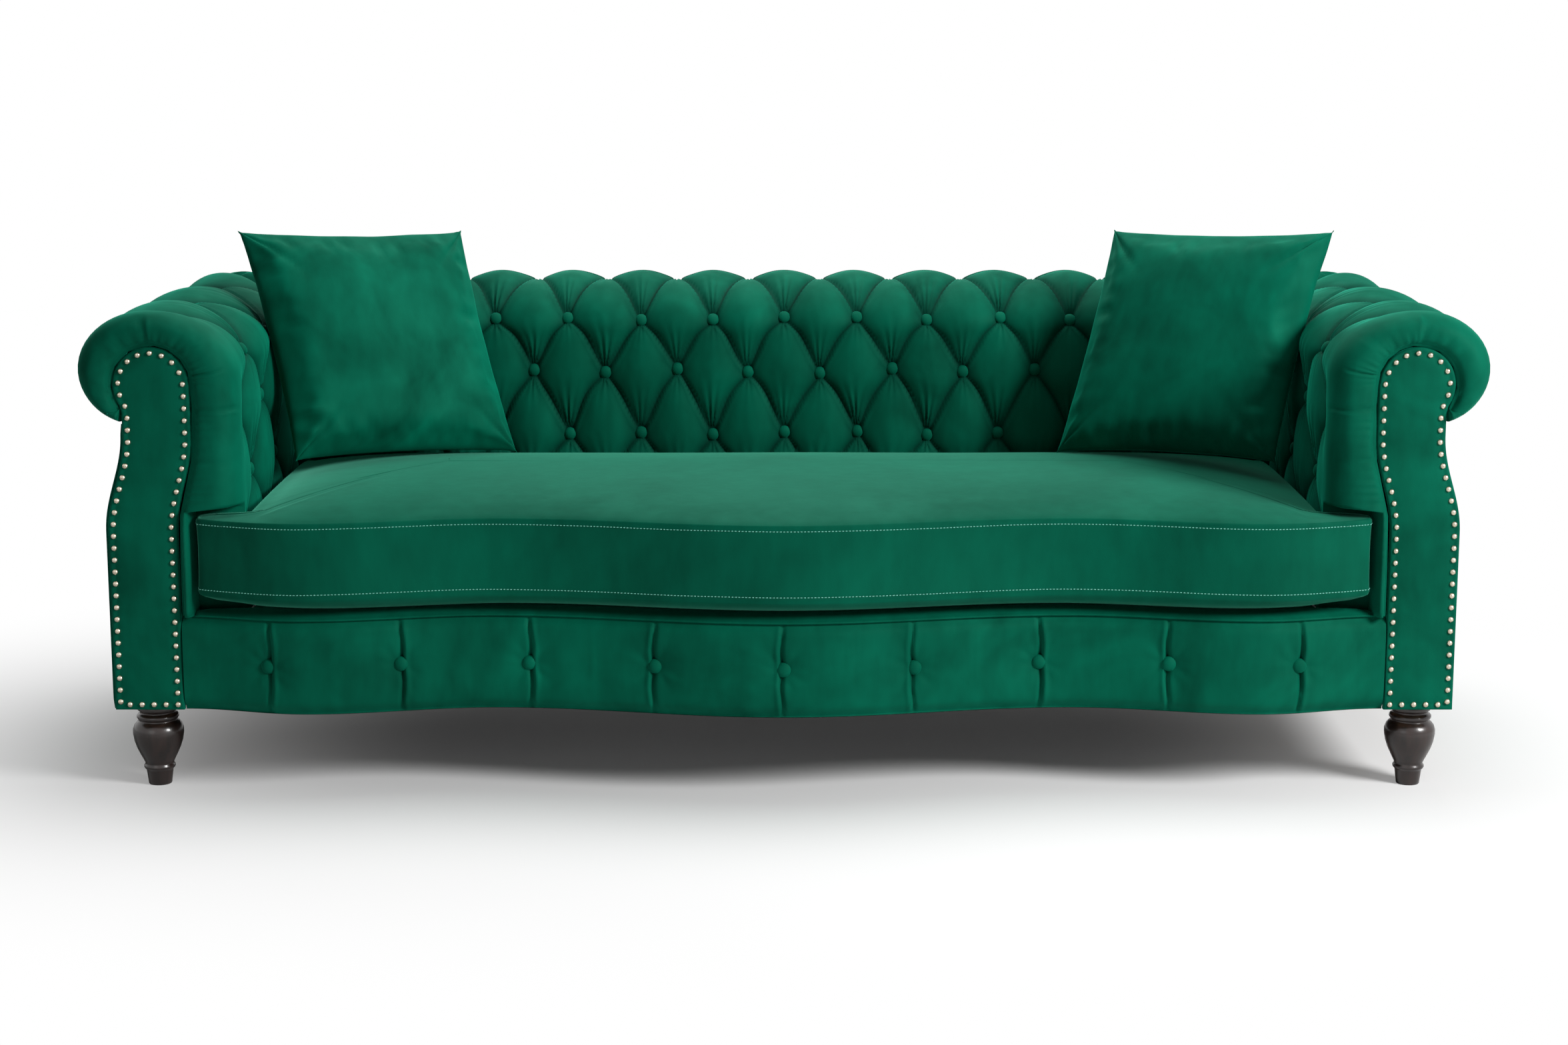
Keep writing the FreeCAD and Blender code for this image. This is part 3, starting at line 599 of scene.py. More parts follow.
def armSection(side):
    def section(column, r, shown):
        if column >= 0:
            if not shown:
                return armPlace(side, column, *hiddenPoint(r)), 0.0
            du, dr = wander(column, r, armPad["seed"] + side, armPad["steps"])
            du *= smooth(column)
            v = min(max(realRow(r) + dr * smooth(column), -1.0), 5.0)
            t, z = crestPoint(v)
            across, up = outwards(v)
            depth = tuftDepth(column, r, 0, armPad["halfPitch"]) * foldFade(r)
            depth = mitreDepth(depth, (armPad["steps"] - column) * armPad["mitreStep"])
            return armPlace(side, column + du, t - across * depth, z - up * depth), depth
        share = 1 + column
        behind, inShare = throughPoints(armPad["frontCurve"], share)
        notched = behind < armPad["notchBehind"]
        if not shown:
            t, z = panelEdge(r, -0.0015) if notched else hiddenPoint(r)
            return Vector((side * (innerHalf + t), front + max(behind, 0.003 + 0.004 * share), z)), 0.0
        v = realRow(r)
        t, z = crestPoint(v)
        if notched:
            t = max(t, armPad["notchT"] * smooth((v - armPad["notchRow"] + 0.03) / 0.03))
        edgeT, edgeZ = panelEdge(v, -armPad["lip"])
        across, up = outwards(v)
        fade = smooth((share - 0.72) / 0.28)
        depth = tuftDepth(0.0, r, 0, armPad["halfPitch"]) * fade * fade
        depth += creaseDepth(v, share)
        turn = clamp(1 - inShare)
        puff = armPad["uneven"] * uneven(v * 1.7, share * 2.0, 9.0) * sin(pi * share)
        place = Vector((t + (edgeT - t) * inShare, behind, z + (edgeZ - z) * inShare))
        place.x -= across * depth * turn
        place.z -= up * depth * turn
        place.y += depth * (1 - turn) * smooth(share / 0.1) - puff
        return Vector((side * (innerHalf + place.x), front + place.y, place.z)), depth
    return section


armColumns = [k / armPad["frontSteps"] - 1 for k in range(armPad["frontSteps"])]
armColumns += evenSteps(0, armPad["steps"], armPad["perStep"])
for sideName, side in sides:
    makePad(sideName + "_arm_padding", armColumns, rowSteps["arm"], armSection(side),
            sideName + "_arm_tufted_pad")


# Covered buttons, sunk in the pits

buttonShape = {"radius": 0.0114, "rise": 0.0068, "around": 20, "stand": 0.0085, "reach": 0.35}


def addDome(bm, middle, axis, radius, rise, around, layers=5):
    # a half ball, flattened to rise, standing on middle along axis
    made = bmesh.ops.create_uvsphere(bm, u_segments=around, v_segments=layers * 2, radius=1.0)["verts"]
    below = [vert for vert in made if vert.co.z < -0.01]
    bmesh.ops.delete(bm, geom=below, context="VERTS")
    made = [vert for vert in made if vert.is_valid]
    size = Matrix.Diagonal((radius, radius, rise, 1))
    bmesh.ops.transform(bm, verts=made, matrix=Matrix.Translation(middle) @ turned(axis) @ size)


def addButton(bm, point, axis, radius, rise, around):
    # the rim turns in below a low dome
    axis = Vector(axis).normalized()
    addDome(bm, point, axis, radius, rise, around)
    addDome(bm, point, -axis, radius * 0.985, rise * 0.5, around, 2)


def tuftButtons(name, section, places, replaced):
    bm = bmesh.new()
    for u, r in places:
        middle = section(u, r, True)[0]
        reach = buttonShape["reach"]
        beside = [section(u + du, r + dr, True)[0]
                  for du, dr in ((reach, 0), (-reach, 0), (0, reach), (0, -reach))]
        axis = (beside[0] - beside[1]).cross(beside[2] - beside[3]).normalized()
        if axis.dot(middle - section(u, r, False)[0]) < 0:
            axis = -axis
        addButton(bm, middle + axis * buttonShape["stand"], axis, buttonShape["radius"], buttonShape["rise"],
                  buttonShape["around"])
    finishPiece(name, bm, replaced, "buttons")


steps = backPad["steps"]
tuftButtons("back_covered_buttons", backSection,
            [(u, r) for r in range(1, 5) for u in range(1 - steps, steps) if (u + r) % 2], "back_buttons")
for sideName, side in sides:
    tuftButtons(sideName + "_arm_covered_buttons", armSection(side),
                [(u, r) for r in range(1, 5) for u in range(armPad["steps"]) if (u + r) % 2 == 0],
                sideName + "_arm_buttons")


# Facings with their nails

facing = {
    "rings": ((0.0, 0.014), (0.0, 0.003), (0.0008, 0.001), (0.0025, 0.0), (0.005, 0.0), (0.0075, 0.0004),
              (0.0095, 0.0008), (0.0115, 0.0004), (0.015, -0.0004), (0.022, -0.0012), (0.032, -0.0018),
              (0.042, -0.0020)),
    "divide": 0.400,
    "belowSteps": 50,
    "aboveSteps": 56,
    "headSteps": 60,
    "baseSteps": 24,
    "outerTop": 0.640,
    "hole": 0.0012,
    "nailInset": 0.0095,
    "nailPitch": 0.020,
    "nailRadius": 0.0051,
    "nailRise": 0.0040,
    "nailSunk": 0.0008,
}


def panelPath(inset, low):
    # the facing's outline from its lower inner corner round to its lower outer corner
    inset += facing["hole"]
    divide, below, above = facing["divide"], facing["belowSteps"], facing["aboveSteps"]
    around, across = facing["headSteps"], facing["baseSteps"]
    heights = [mix(low, divide, k / below) for k in range(below)]
    heights += [mix(divide, panel["head"][1], k / above) for k in range(above + 1)]
    inner = [(panelSide(0, z) + inset, z) for z in heights]
    head = []
    for k in range(1, around):
        turn = radians(mix(180, panel["headEnd"], k / around))
        radius = panel["head"][2] - inset
        head.append((panel["head"][0] + radius * cos(turn), panel["head"][1] + radius * sin(turn)))
    lastZ = head[-1][1]
    outer = [(panelSide(1, z) - inset, z) for z in reversed(heights) if z < min(lastZ, facing["outerTop"])]
    ends = panelSide(1, low) - inset, panelSide(0, low) + inset
    base = [(mix(*ends, k / across), low) for k in range(1, across)]
    return inner + head + outer + base


def walkPath(path, pitch):
    lengths = [0.0]
    for a, b in zip(path, path[1:]):
        lengths.append(lengths[-1] + hypot(b[0] - a[0], b[1] - a[1]))
    count = round(lengths[-1] / pitch)
    along = [list(zip(lengths, [point[k] for point in path])) for k in (0, 1)]
    return [[between(knots, lengths[-1] * k / count) for knots in along] for k in range(count)]


def makeFacing(sideName, side):
    paths = [panelPath(inset, bodyBottom + inset) for inset, _ in facing["rings"]]
    count = min(len(path) for path in paths)

    def place(k, level):
        inset, behind = facing["rings"][level]
        t, z = paths[level][k]
        pull = 0.0005 * cos(k * pi / 2) if 0.004 < inset < 0.013 else 0.0
        return Vector((side * (innerHalf + t), front + behind + pull, z)), 0.0

    bm = closedLevels(count, len(facing["rings"]), place)
    finishPiece(sideName + "_facing", bm, sideName + "_facing_panel")
    bm = bmesh.new()
    path = panelPath(facing["nailInset"], bodyBottom + facing["nailInset"])
    for t, z in walkPath(path + path[:1], facing["nailPitch"]):
        middle = Vector((side * (innerHalf + t), front + facing["nailSunk"], z))
        addDome(bm, middle, (0, -1, 0), facing["nailRadius"], facing["nailRise"] + facing["nailSunk"], 14, 4)
    finishPiece(sideName + "_nails", bm, sideName + "_nail_trim", "nails")


for sideName, side in sides:
    makeFacing(sideName, side)


# Outside covers: plain sheets with a slight softness

outside = {"rows": 60, "columns": 120, "thick": 0.004, "top": 0.617, "soft": 0.0015, "armStart": 0.0146}


def makeOutside(name, place, replaced):
    # place(share, t, z) with share from one end to the other
    def softened(share, up):
        z = mix(bodyBottom, outside["top"], up)
        soft = outside["soft"] * uneven(share * 5, z * 5, len(name)) * smooth(min(share, 1 - share) * 12)
        drawn = 0.002 * (bump(up, 0.02) + bump(up - 1, 0.02))
        return place(share, panelSide(1, z) + 0.001 + soft - drawn, z)

    bm = sheet(outside["columns"], outside["rows"], outside["thick"], softened)
    finishPiece(name, bm, replaced)


def backSheet(share, t, z):
    return backPlace(mix(-backPad["steps"], backPad["steps"], share), t, z)


makeOutside("back_outside_cover", backSheet, "back_outside_panel")
for sideName, side in sides:
    def armSheet(share, t, z, side=side):
        rear = armPlace(side, armPad["steps"], t, z)
        return Vector((rear.x, mix(front + outside["armStart"], rear.y, share), z))
    makeOutside(sideName + "_outside_cover", armSheet, sideName + "_outside_arm_panel")


# Front rail: serpentine padding with a pleat through each button

rail = {
    "knots": ((0.0, -0.063), (0.475, 0.006), (0.785, -0.042), (0.990, -0.002)),
    "half": 0.9898,
    "thick": 0.034,
    "pleatPitch": 0.211,
    "buttonZ": 0.222,
    "buttonRadius": 0.0125,
    "buttonRise": 0.0075,
    "buttonSunk": 0.0105,
    "columns": 640,
    "rows": 48,
    "pleat": 0.0080,
    "pleatWidth": 0.0030,
    "pleatHeight": 0.075,   # how far from the button a pleat stays at its deepest
    "lip": 0.0030,
    "lipPlace": 0.0070,
    "lipWidth": 0.0040,
    "dimple": 0.0130,
    "dimpleReach": 0.026,
    "star": 0.0014,         # gathers round the button
    "starPoints": 9,
    "uneven": 0.0012,
    "rounding": 0.011,
}


def serpentine(x):
    x = abs(x)
    for (x0, y0), (x1, y1) in zip(rail["knots"], rail["knots"][1:]):
        if x <= x1:
            return halfWave(y0, y1, (x - x0) / (x1 - x0))
    return rail["knots"][-1][1]


pleatSeed = random.Random(11)
pleats = [(rail["pleatPitch"] * k + pleatSeed.uniform(-0.003, 0.003), pleatSeed.uniform(-0.0016, 0.0016),
           pleatSeed.choice((-1, 1)), pleatSeed.uniform(-0.003, 0.003)) for k in range(-4, 5)]


def railDepth(x, z):
    depth = 0.0
    for middle, slant, lean, rise in pleats:
        if abs(x - middle) > 0.1:
            continue
        up = z - rail["buttonZ"] - rise
        line = middle + slant * up / 0.07 + lean * 0.004 * bump(abs(up) - 0.03, 0.03)
        near = bump(up, rail["pleatHeight"])
        reach = hypot(x - middle, up)
        depth += rail["dimple"] * exp(-reach / rail["dimpleReach"])
        depth += rail["pleat"] * bump(x - line, rail["pleatWidth"]) * mix(0.45, 1, near)
        depth -= rail["lip"] * bump(x - line - lean * rail["lipPlace"], rail["lipWidth"]) * mix(0.35, 1, near)
        angle = rail["starPoints"] * atan2(up, x - middle)
        depth += rail["star"] * (sin(angle + middle * 40) * exp(-reach / 0.03)
                                 * smooth((reach - 0.012) / 0.02))
    return depth + rail["uneven"] * uneven(x * 7, z * 9, 5.0)


def makeFrontRail():
    # rounded over into the seam above and the edge below, closed behind
    high = seatLine - bodyBottom
    ends = [(0.0, rail["thick"]), (0.0, 0.012)]
    profile = ends + [(k / rail["rows"], 0.0) for k in range(rail["rows"] + 1)]
    profile += [(1.0, inwards) for _, inwards in reversed(ends)]

    def place(column, k):
        share, inwards = profile[k]
        x = mix(-rail["half"], rail["half"], column / rail["columns"])
        z = bodyBottom + high * share
        depth = 0.0
        if 2 <= k <= len(profile) - 3:
            rounding = rail["rounding"] * (bump(share, 0.07) + bump(share - 1, 0.07))
            rounding -= 0.003 * sin(pi * share)
            depth = railDepth(x, z)
            inwards = rounding + depth * smooth(min(share, 1 - share) * 9 + 0.25) + 0.003
        return Vector((x, front + serpentine(x) + inwards, z)), max(depth, 0.0)

    bm = bentGrid(rail["columns"], len(profile) - 1, place)
    cutCreases(bm)
    closeEnds(bm)
    finishPiece("front_rail_padding", bm, "front_rail_pad")
    bm = bmesh.new()
    for middle, _, _, rise in pleats:
        point = Vector((middle, front + serpentine(middle) + rail["buttonSunk"], rail["buttonZ"] + rise))
        addButton(bm, point, (0, -1, 0.05), rail["buttonRadius"], rail["buttonRise"], 24)
    finishPiece("front_rail_covered_buttons", bm, "front_rail_buttons", "buttons")


makeFrontRail()


# Deck: the strip in front of and under the cushion

deck = {"columns": 240, "rows": 24, "earHalf": 0.968, "half": 0.881, "thick": 0.003, "lip": 0.0055,
        "lipShare": 0.12}


def makeDeck():
    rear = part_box("deck_cloth")[1].y

    def place(across, back):
        share = back ** 1.8
        narrow = mix(deck["earHalf"], deck["half"], smooth((share - 0.02) / 0.06))
        x = (across * 2 - 1) * narrow
        start = front + serpentine(x) + 0.008
        swell = deck["lip"] * sin(pi * share / deck["lipShare"]) if share < deck["lipShare"] else 0.0
        return Vector((x, mix(start, rear, share), seatLine + 0.003 + swell - 0.002 * bump(share, 0.01)))

    bm = sheet(deck["columns"], deck["rows"], deck["thick"], place)
    finishPiece("deck_lining", bm, "deck_cloth", "deck_cloth")


makeDeck()


# Seat cushion: a boxed T shape; rings run from the underside out over the boxing and in over the crown

seat = {
    "earHalf": 0.962,
    "earBack": 0.036,
    "half": 0.881,
    "back": backFace - 0.006,
    "overhang": 0.011,
    "seams": (0.340, 0.462),
    "crown": 0.500,
    "crownY": front + 0.380,
    "narrows": 0.34,
    "crownFall": 2.4,       # higher keeps more of the top level
    "crownRound": 0.72,
    "noseSteps": 120,
    "step": 0.0075,
    "boxingSteps": 14,
    "boxingIn": 0.0028,     # the boxing draws in between its seams, and the seams stand back from their edges
    "seamIn": (0.0018, 0.0003),
    "seamHalf": 0.0022,
    "smoothing": 12,
    "under": ((0.3035, 0.75), (0.3035, 0.4), (0.308, 0.2), (0.316, 0.1), (0.3215, 0.06), (0.328, 0.025),
              (0.334, 0.009)),
    "over": (0.003, 0.008, 0.015, 0.025, 0.04, 0.06, 0.085, 0.115, 0.15, 0.2, 0.26, 0.33, 0.41, 0.5, 0.6, 0.7,
             0.8, 0.9, 0.97),
}


def cushionOutline():
    # corners of the T from the front's middle round to the back's middle, then mirrored and stepped evenly
    ear, count = seat["earHalf"], seat["noseSteps"]
    nose = [(ear * k / count, front + serpentine(ear * k / count) - seat["overhang"]) for k in range(count + 1)]
    earBack = front + seat["earBack"]
    corners = nose[:-6] + [(ear - 0.017, nose[-1][1] + 0.001), (ear - 0.005, nose[-1][1] + 0.007),
                           (ear, nose[-1][1] + 0.019)]
    corners += [(ear, earBack - 0.008), (ear - 0.006, earBack - 0.001), (ear - 0.012, earBack)]
    half, back = seat["half"], seat["back"]
    corners += [(half + 0.012, earBack), (half + 0.003, earBack + 0.003), (half, earBack + 0.012)]
    corners += [(half, back - 0.03), (half - 0.008, back - 0.008), (half - 0.03, back), (0.0, back)]
    path = corners + [(-x, y) for x, y in reversed(corners[1:-1])]
    return walkPath(path + path[:1], seat["step"])


def cushionPoint(x, y, crown):
    # the same rule as the solid: the crown narrows the T and its ears die away
    body = min(abs(x), seat["half"]) * (1 - seat["narrows"] * crown)
    ear = max(abs(x) - seat["half"], 0.0) * max(1 - crown / 0.1, 0.02)
    drawn = mix(y, seat["crownY"], crown)
    earBack = front + seat["earBack"]
    if y > earBack - 0.02 and y < earBack + 0.013 and abs(x) > seat["half"] - 0.001:
        nose = mix(front - 0.013, seat["crownY"], crown)
        drawn = max(min(drawn, y + crown * 0.02), nose + 0.008 + (y - earBack + 0.02) * 0.5)
    return copysign(body + ear, x), drawn


def makeSeatCushion():
    outline = cushionOutline()
    low, high = seat["seams"]
    levels = [(z, crown, 0.0) for z, crown in seat["under"]]
    width = seat["seamHalf"]
    seamIn, besideIn = seat["seamIn"]
    levels += [(low - 0.002, 0.0015, 0.0), (low, 0.0, seamIn), (low + width, 0.0, besideIn)]
    for k in range(1, seat["boxingSteps"]):
        share = k / seat["boxingSteps"]
        drawnIn = seat["boxingIn"] * sin(pi * share) ** 0.6
        levels.append((mix(low + width, high - width, share), 0.0, drawnIn))
    levels += [(high - width, 0.0, besideIn), (high, 0.0, seamIn)]
    levels += [(None, crown, 0.0) for crown in seat["over"]]

    def place(k, level):
        x, y = outline[k]
        z, crown, inset = levels[level]
        px, py = cushionPoint(x, y, crown)
        inwards = (Vector((px * 0.98, mix(py, seat["crownY"], 0.02))) - Vector((px, py))).normalized() * inset
        if z is None:
            soft = 0.007 * uneven(px * 3.1, py * 3.1, 4.0) * crown * (1 - crown)
            return Vector((px, py, crownHeight(px, py) + soft)), 0.0
        if low - 0.001 < z < high + 0.001:
            inwards *= 1 + 0.4 * uneven(px * 3.1, py * 3.1, z * 9)
        waver = boxingWaver(px, py) * (z > 0.32)
        # painted shade mask along the seams, read by the velvet's fold shade; at most 0.004 it stays at the
        # depth where that shade starts, so it darkens nothing
        sunk = 0.004 * bump(min(abs(z - low), abs(z - high)), 0.001)
        return Vector((px + inwards.x, py + inwards.y + cushionPucker(x, y, z), z + waver)), sunk

    bm = closedLevels(len(outline), len(levels), place)
    top = [vert for vert in bm.verts if vert.co.z > high + 0.004]
    for _ in range(seat["smoothing"]):
        bmesh.ops.smooth_vert(bm, verts=top, factor=0.5, use_axis_z=True)
    finishPiece("seat_cushion_velvet", bm, "seat_cushion_cover", body="seat_cushion",
                material=seatVelvetPaintedSheen)
    return outline


def crownHeight(x, y):
    # the top: highest in the middle, falling to the seam all round without a ridge
    edge = front + serpentine(x) - seat["overhang"] if y < seat["crownY"] else seat["back"]
    fromEnd = (seat["half"] - abs(x)) / (seat["narrows"] * seat["half"])
    fromEdge = (y - edge) / (seat["crownY"] - edge)
    rise = 1.0
    for share in (max(fromEnd, 0.06), fromEdge):
        rise *= 1 - (1 - clamp(share)) ** seat["crownFall"]
    return mix(seat["seams"][1], seat["crown"], rise ** seat["crownRound"]) + 0.0008


def boxingWaver(x, y):
    # seams and stitches rise and fall together
    return 0.0014 * uneven(x * 6, y * 6, 2.0)


def cushionPucker(x, y, z):
    # small gathers near the ears' front corners
    near = bump(abs(x) - 0.93, 0.035) * bump(z - seat["seams"][1], 0.02) * (y < front + 0.02)
    return 0.0012 * near * sin(abs(x) * 520)


seatOutline = makeSeatCushion()

stitching = {"pitch": 0.0056, "length": 0.0036, "radius": 0.0006, "offset": 0.0068, "proud": -0.0003}


def makeStitches(outline):
    # two runs of top-stitching on the boxing, each stitch a short rounded bar
    low, high = seat["seams"]
    bm = bmesh.new()
    for z in (low + stitching["offset"], high - stitching["offset"]):
        loop = walkPath(outline + outline[:1], stitching["pitch"])
        for k in range(len(loop)):
            here = Vector((*loop[k], z))
            ahead = Vector((*loop[(k + 1) % len(loop)], z))
            along = (ahead - here).normalized()
            out = Vector((along.y, -along.x, 0))
            middle = here + out * stitching["proud"] + Vector((0, 0, boxingWaver(here.x, here.y)))
            radius = stitching["radius"]
            made = bmesh.ops.create_cone(bm, cap_ends=True, segments=5, radius1=radius, radius2=radius,
                                         depth=stitching["length"])["verts"]
            bmesh.ops.transform(bm, verts=made, matrix=Matrix.Translation(middle) @ turned(along))
    finishPiece("seat_cushion_stitches", bm, None, body="seat_cushion", material=stitchThread)


makeStitches(seatOutline)


# Scatter cushions

scatter = {
    "side": 0.432,
    "thick": 0.134,
    "steps": 72,
    "drawnIn": 0.04,
    "fillingGap": 0.085,
    "offset": (0.004, 0, 0.002),    # outwards, back and up from the middle of the solid
    "slack": 0.84,          # the thickness that the cloth run starts from
    "frames": 20,
    "cap": 0.011,           # the furthest that the cloth run moves a point
    "cloth": {"quality": 6, "mass": 0.25, "tension_stiffness": 22, "compression_stiffness": 8,
              "shear_stiffness": 6, "bending_stiffness": 0.35, "use_pressure": True,
              "uniform_pressure_force": 3.0},
}
scatterPoses = {    # turn, lean and tip in degrees, seed, sideways lean of the cloth
    "left_scatter": (28.0, -20.0, 2.0, 5.0, -0.14),
    "right_scatter": (-31.0, -20.0, -2.0, 12.0, 0.13),
}


def scatterHalf(a, b, seed):
    # half thickness, with folds that run in from the corners and edges
    fullness = max((1 - a * a) * (1 - b * b), 0.0) ** 0.42
    rim = max(abs(a), abs(b))
    edgeWay = b if abs(a) > abs(b) else a
    folds = sin(edgeWay * 34 + 3 * uneven(a * 2, b * 2, seed) + seed)
    folds *= uneven(a * 2.3, b * 2.3, seed + 7) * bump(rim - 0.88, 0.14)
    folds *= 0.016 if b < -0.5 else 0.009
    broad = uneven(a * 1.6, b * 1.6, seed + 3) * 0.008 * (1 - rim ** 4)
    corner = abs(abs(a) - abs(b))
    tuck = 0.004 * bump(corner, 0.05) * smooth((rim - 0.45) / 0.3) * (1 - rim ** 8)
    return scatter["thick"] / 2 * fullness + (folds + broad) * (1 - rim ** 10) - tuck


def inflate(piece):
    # cloth under pressure: the sheets fill out, the sides draw in and the seams pucker
    rest = [vert.co.copy() for vert in piece.data.vertices]
    cloth = piece.modifiers.new("Cloth", "CLOTH")
    for name, value in scatter["cloth"].items():
        setattr(cloth.settings, name, value)
    cloth.settings.effector_weights.gravity = 0
    for step in range(1, scatter["frames"] + 1):
        bpy.context.scene.frame_set(step)
    shaped = piece.evaluated_get(bpy.context.evaluated_depsgraph_get()).data
    moved = [vert.co.copy() for vert in shaped.vertices]
    piece.modifiers.clear()
    for vert, start, end in zip(piece.data.vertices, rest, moved):
        way = end - start
        vert.co = start + way * min(1.0, scatter["cap"] / max(way.length, 1e-9))
    bpy.context.scene.frame_set(1)
    print("inflated", piece.name)


def makeScatter(name, part, yaw, lean, tip, seed, shear):
    low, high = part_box(name + "_cover")
    inside = part == "filling"
    side = scatter["side"] - (scatter["fillingGap"] if inside else 0)
    steps = scatter["steps"] // (3 if inside else 1)
    bm = bmesh.new()
    places = [sin(pi / 2 * (2 * k / steps - 1)) for k in range(steps + 1)]
    full = (side / scatter["side"]) ** 2
    if not inside:
        full = scatter["slack"]    # the cloth fills out by itself
    for face in (-1, 1):
        made = bmesh.ops.create_grid(bm, x_segments=steps, y_segments=steps, size=0.5)["verts"]
        for vert in made:
            a = places[round((vert.co.x + 0.5) * steps)]
            b = places[round((vert.co.y + 0.5) * steps)]
            x = side / 2 * a * (1 - scatter["drawnIn"] * (1 - b * b))
            z = side / 2 * b * (1 - scatter["drawnIn"] * (1 - a * a))
            waver = 0.004 * uneven(a * 3, b * 3, seed)
            rim = max(abs(a), abs(b))
            half = scatterHalf(a, b, seed + face) * full
            vert.co = Vector((x + z * shear, face * half + waver * rim ** 6, z))
    bmesh.ops.remove_doubles(bm, verts=bm.verts, dist=1e-5)
    turn = Matrix.Rotation(radians(yaw), 4, "Z") @ Matrix.Rotation(radians(lean), 4, "X")
    turn = turn @ Matrix.Rotation(radians(tip), 4, "Y")
    outwards, back, up = scatter["offset"]
    middle = (low + high) / 2 + Vector((copysign(outwards, low.x), back, up))
    bmesh.ops.transform(bm, verts=bm.verts, matrix=Matrix.Translation(middle) @ turn)
    if inside:
        finishPiece(name + "_inner", bm, name + "_filling", "filling", body=name)
    else:
        piece = finishPiece(name + "_velvet", bm, name + "_cover", body=name, material=scatterVelvet)
        inflate(piece)


for name, pose in scatterPoses.items():
    makeScatter(name, "cover", *pose)
    makeScatter(name, "filling", *pose)


# Turned feet

footShape = {
    # radius and height in millimetres
    "profile": ((0.0, 0.0), (18.3, 0.0), (19.3, 1.2), (19.8, 6.0), (22.0, 23.0), (22.6, 26.0), (24.8, 27.4),
                (26.0, 30.0), (25.8, 32.6), (24.0, 34.6), (23.8, 37.0), (26.0, 42.0), (31.0, 52.0),
                (36.0, 63.0), (40.0, 75.0), (42.0, 87.0), (42.0, 95.0), (39.6, 102.0), (35.6, 107.0),
                (32.4, 109.6), (31.6, 111.6), (33.2, 113.0), (34.8, 115.6), (34.8, 118.6), (33.0, 121.0),
                (30.4, 122.6), (29.4, 124.6), (30.4, 126.6), (33.0, 128.6), (34.2, 131.6), (33.6, 135.0),
                (31.4, 137.6), (30.4, 139.6), (30.0, 142.0), (0.0, 142.0)),
    "widest": 42.0,
    "around": 56,
}


def makeFeet(name, node):
    low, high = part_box(node)
    radius = footShape["widest"] / 1000
    bm = bmesh.new()
    for x in (low.x + radius, high.x - radius):
        middle = Vector((x, (low.y + high.y) / 2, 0))
        chain = [bm.verts.new(middle + Vector((r / 1000, 0, z / 1000))) for r, z in footShape["profile"]]
        edges = [bm.edges.new(pair) for pair in zip(chain, chain[1:])]
        bmesh.ops.spin(bm, geom=chain + edges, cent=middle, axis=(0, 0, 1), angle=2 * pi,
                       steps=footShape["around"], use_merge=True)
    finishPiece(name, bm, node, "foot_wood")


makeFeet("front_turned_feet", "front_feet")
makeFeet("rear_turned_feet", "rear_feet")


# Floor, light and camera

studio = {
    "camera": (0.0, -4.9045, 1.2836),
    "pitch": 10.39,
    "lens": 64.43,
    "floorColour": (0.8, 0.8, 0.8, 1),
    "floorSquash": (0.62, 1.0, 0.0),
    "floorFade": (0.3, 1.5),    # the floor turns to plain white between these distances
    "floorGlow": 0.02,
    "ambient": 0.09,
    # name, place, aim, size, power
    "lights": (("key", (3.6, -2.7, 2.7), (0.0, 0.0, 0.45), 1.7, 270),
               ("fill", (-2.4, -4.4, 1.6), (0, 0, 0.4), 2.4, 12),
               ("top", (0.2, 0.6, 3.1), (0, 0, 0.5), 2.6, 70), ("rim", (0.0, 3.0, 2.6), (0, 0, 0.5), 3.0, 16)),
}


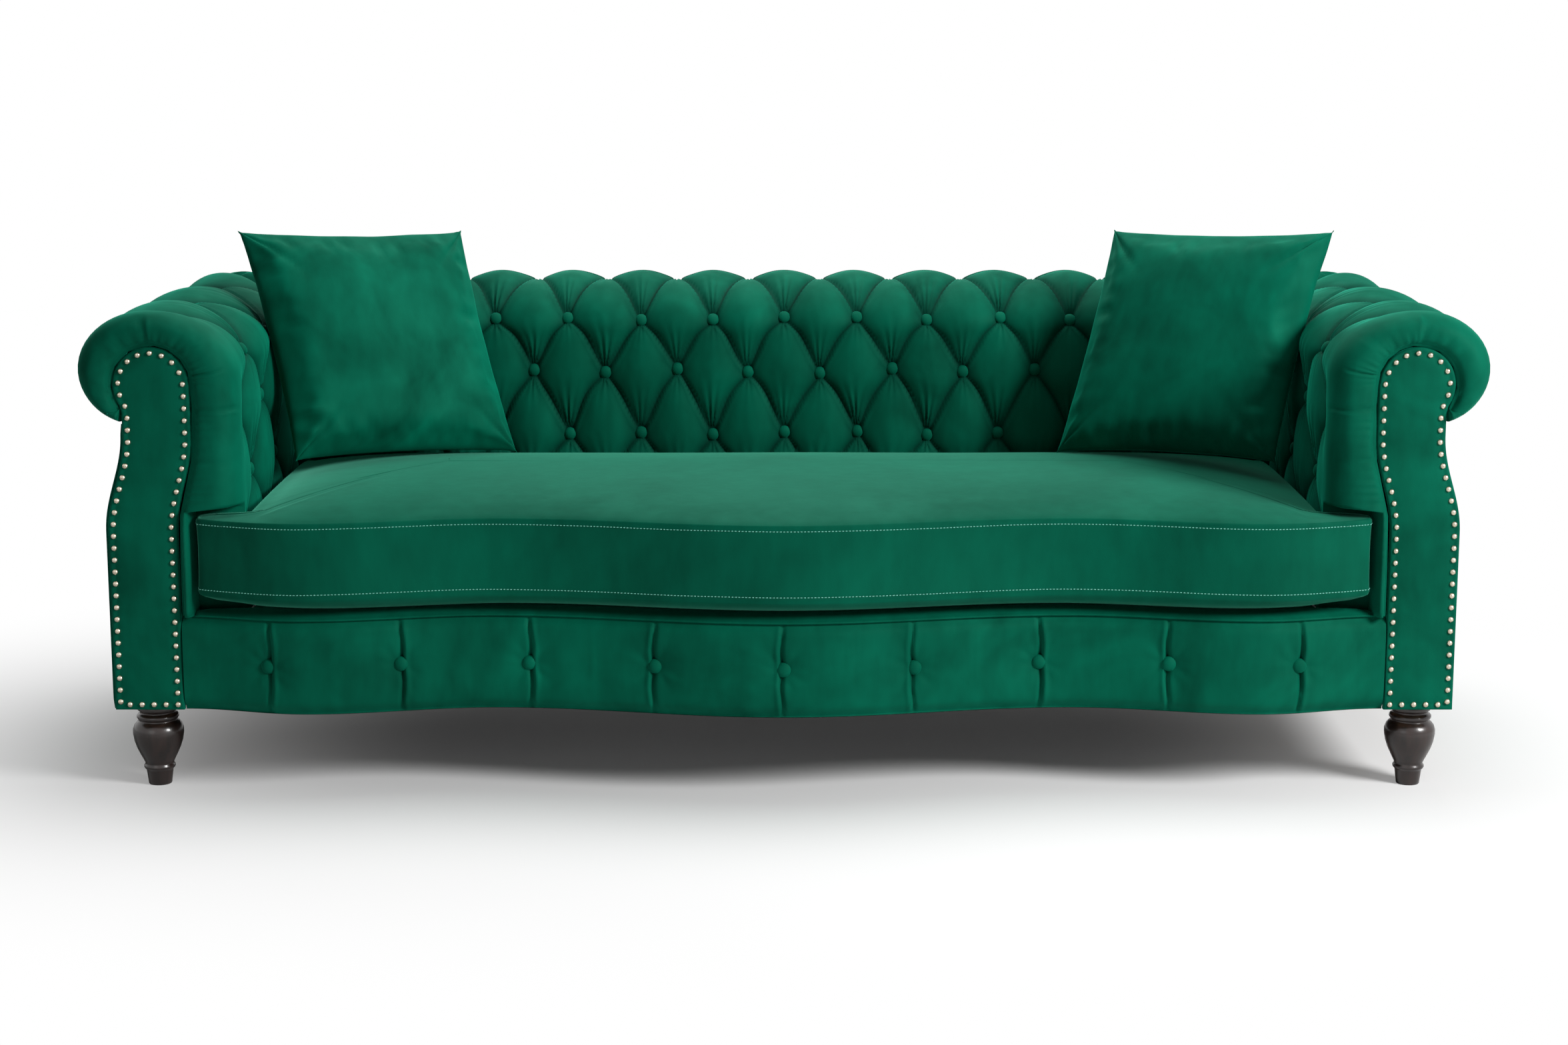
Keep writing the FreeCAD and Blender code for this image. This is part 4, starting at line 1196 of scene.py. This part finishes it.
def makeStage():
    bpy.ops.mesh.primitive_plane_add(size=60)
    ground = bpy.context.object
    ground.name = "studio_floor"
    material, nodes = newMaterial("studioFloor")
    shader = nodes["Principled BSDF"]
    setInputs(shader, {"Base Color": studio["floorColour"], "Roughness": 0.9})
    fadeFrom, fadeTo = studio["floorFade"]
    place = addNode(nodes, "TexCoord")
    split = addNode(nodes, "VectorMath", {1: studio["floorSquash"]}, operation="MULTIPLY")
    length = addNode(nodes, "VectorMath", operation="LENGTH")
    away = addNode(nodes, "MapRange", {"From Min": fadeFrom, "From Max": fadeTo},
                   interpolation_type="SMOOTHERSTEP")
    ray = addNode(nodes, "LightPath")
    shown = addNode(nodes, "Math", operation="MULTIPLY")
    glow = addNode(nodes, "Emission")
    soft = addNode(nodes, "Emission", {"Strength": studio["floorGlow"]})
    near = addNode(nodes, "AddShader")
    byRay = addNode(nodes, "MixShader")
    far = addNode(nodes, "MixShader")
    join((place, "Object", split, 0), (split, "Vector", length, 0), (length, "Value", away, "Value"),
         (away, "Result", shown, 0), (ray, "Is Camera Ray", shown, 1), (shader, "BSDF", near, 0),
         (soft, "Emission", near, 1), (ray, "Is Camera Ray", byRay, "Fac"), (shader, "BSDF", byRay, 1),
         (near, "Shader", byRay, 2), (shown, "Value", far, "Fac"), (byRay, "Shader", far, 1),
         (glow, "Emission", far, 2), (far, "Shader", nodes["Material Output"], "Surface"))
    ground.data.materials.append(material)
    world = bpy.data.worlds.new("studioWorld")
    bpy.context.scene.world = world
    world.use_nodes = True
    nodes = world.node_tree.nodes
    background = nodes["Background"]
    setInputs(background, {"Color": (1, 1, 1, 1)})
    ray = addNode(nodes, "LightPath")
    seen = addNode(nodes, "Math", operation="MAXIMUM")
    strength = addNode(nodes, "MapRange", {"To Min": studio["ambient"], "To Max": 1.0})
    join((ray, "Is Camera Ray", seen, 0), (ray, "Is Glossy Ray", seen, 1),
         (seen, "Value", strength, "Value"), (strength, "Result", background, "Strength"))


def makeLights():
    for name, place, aim, size, power in studio["lights"]:
        lamp = bpy.data.lights.new(name, "AREA")
        lamp.shape = "DISK"
        lamp.size = size
        lamp.energy = power
        light = bpy.data.objects.new(name, lamp)
        light.location = place
        light.rotation_euler = (Vector(aim) - Vector(place)).to_track_quat("-Z", "Y").to_euler()
        bpy.context.scene.collection.objects.link(light)


def makeCamera():
    lens = bpy.data.cameras.new("camera")
    lens.lens = studio["lens"]
    lens.sensor_width = 36
    lens.clip_end = 100
    camera = bpy.data.objects.new("camera", lens)
    camera.location = studio["camera"]
    camera.rotation_euler = (radians(90 - studio["pitch"]), 0, 0)
    bpy.context.scene.collection.objects.link(camera)
    bpy.context.scene.camera = camera


makeStage()
makeLights()
makeCamera()
bpy.context.scene.view_settings.view_transform = "Standard"
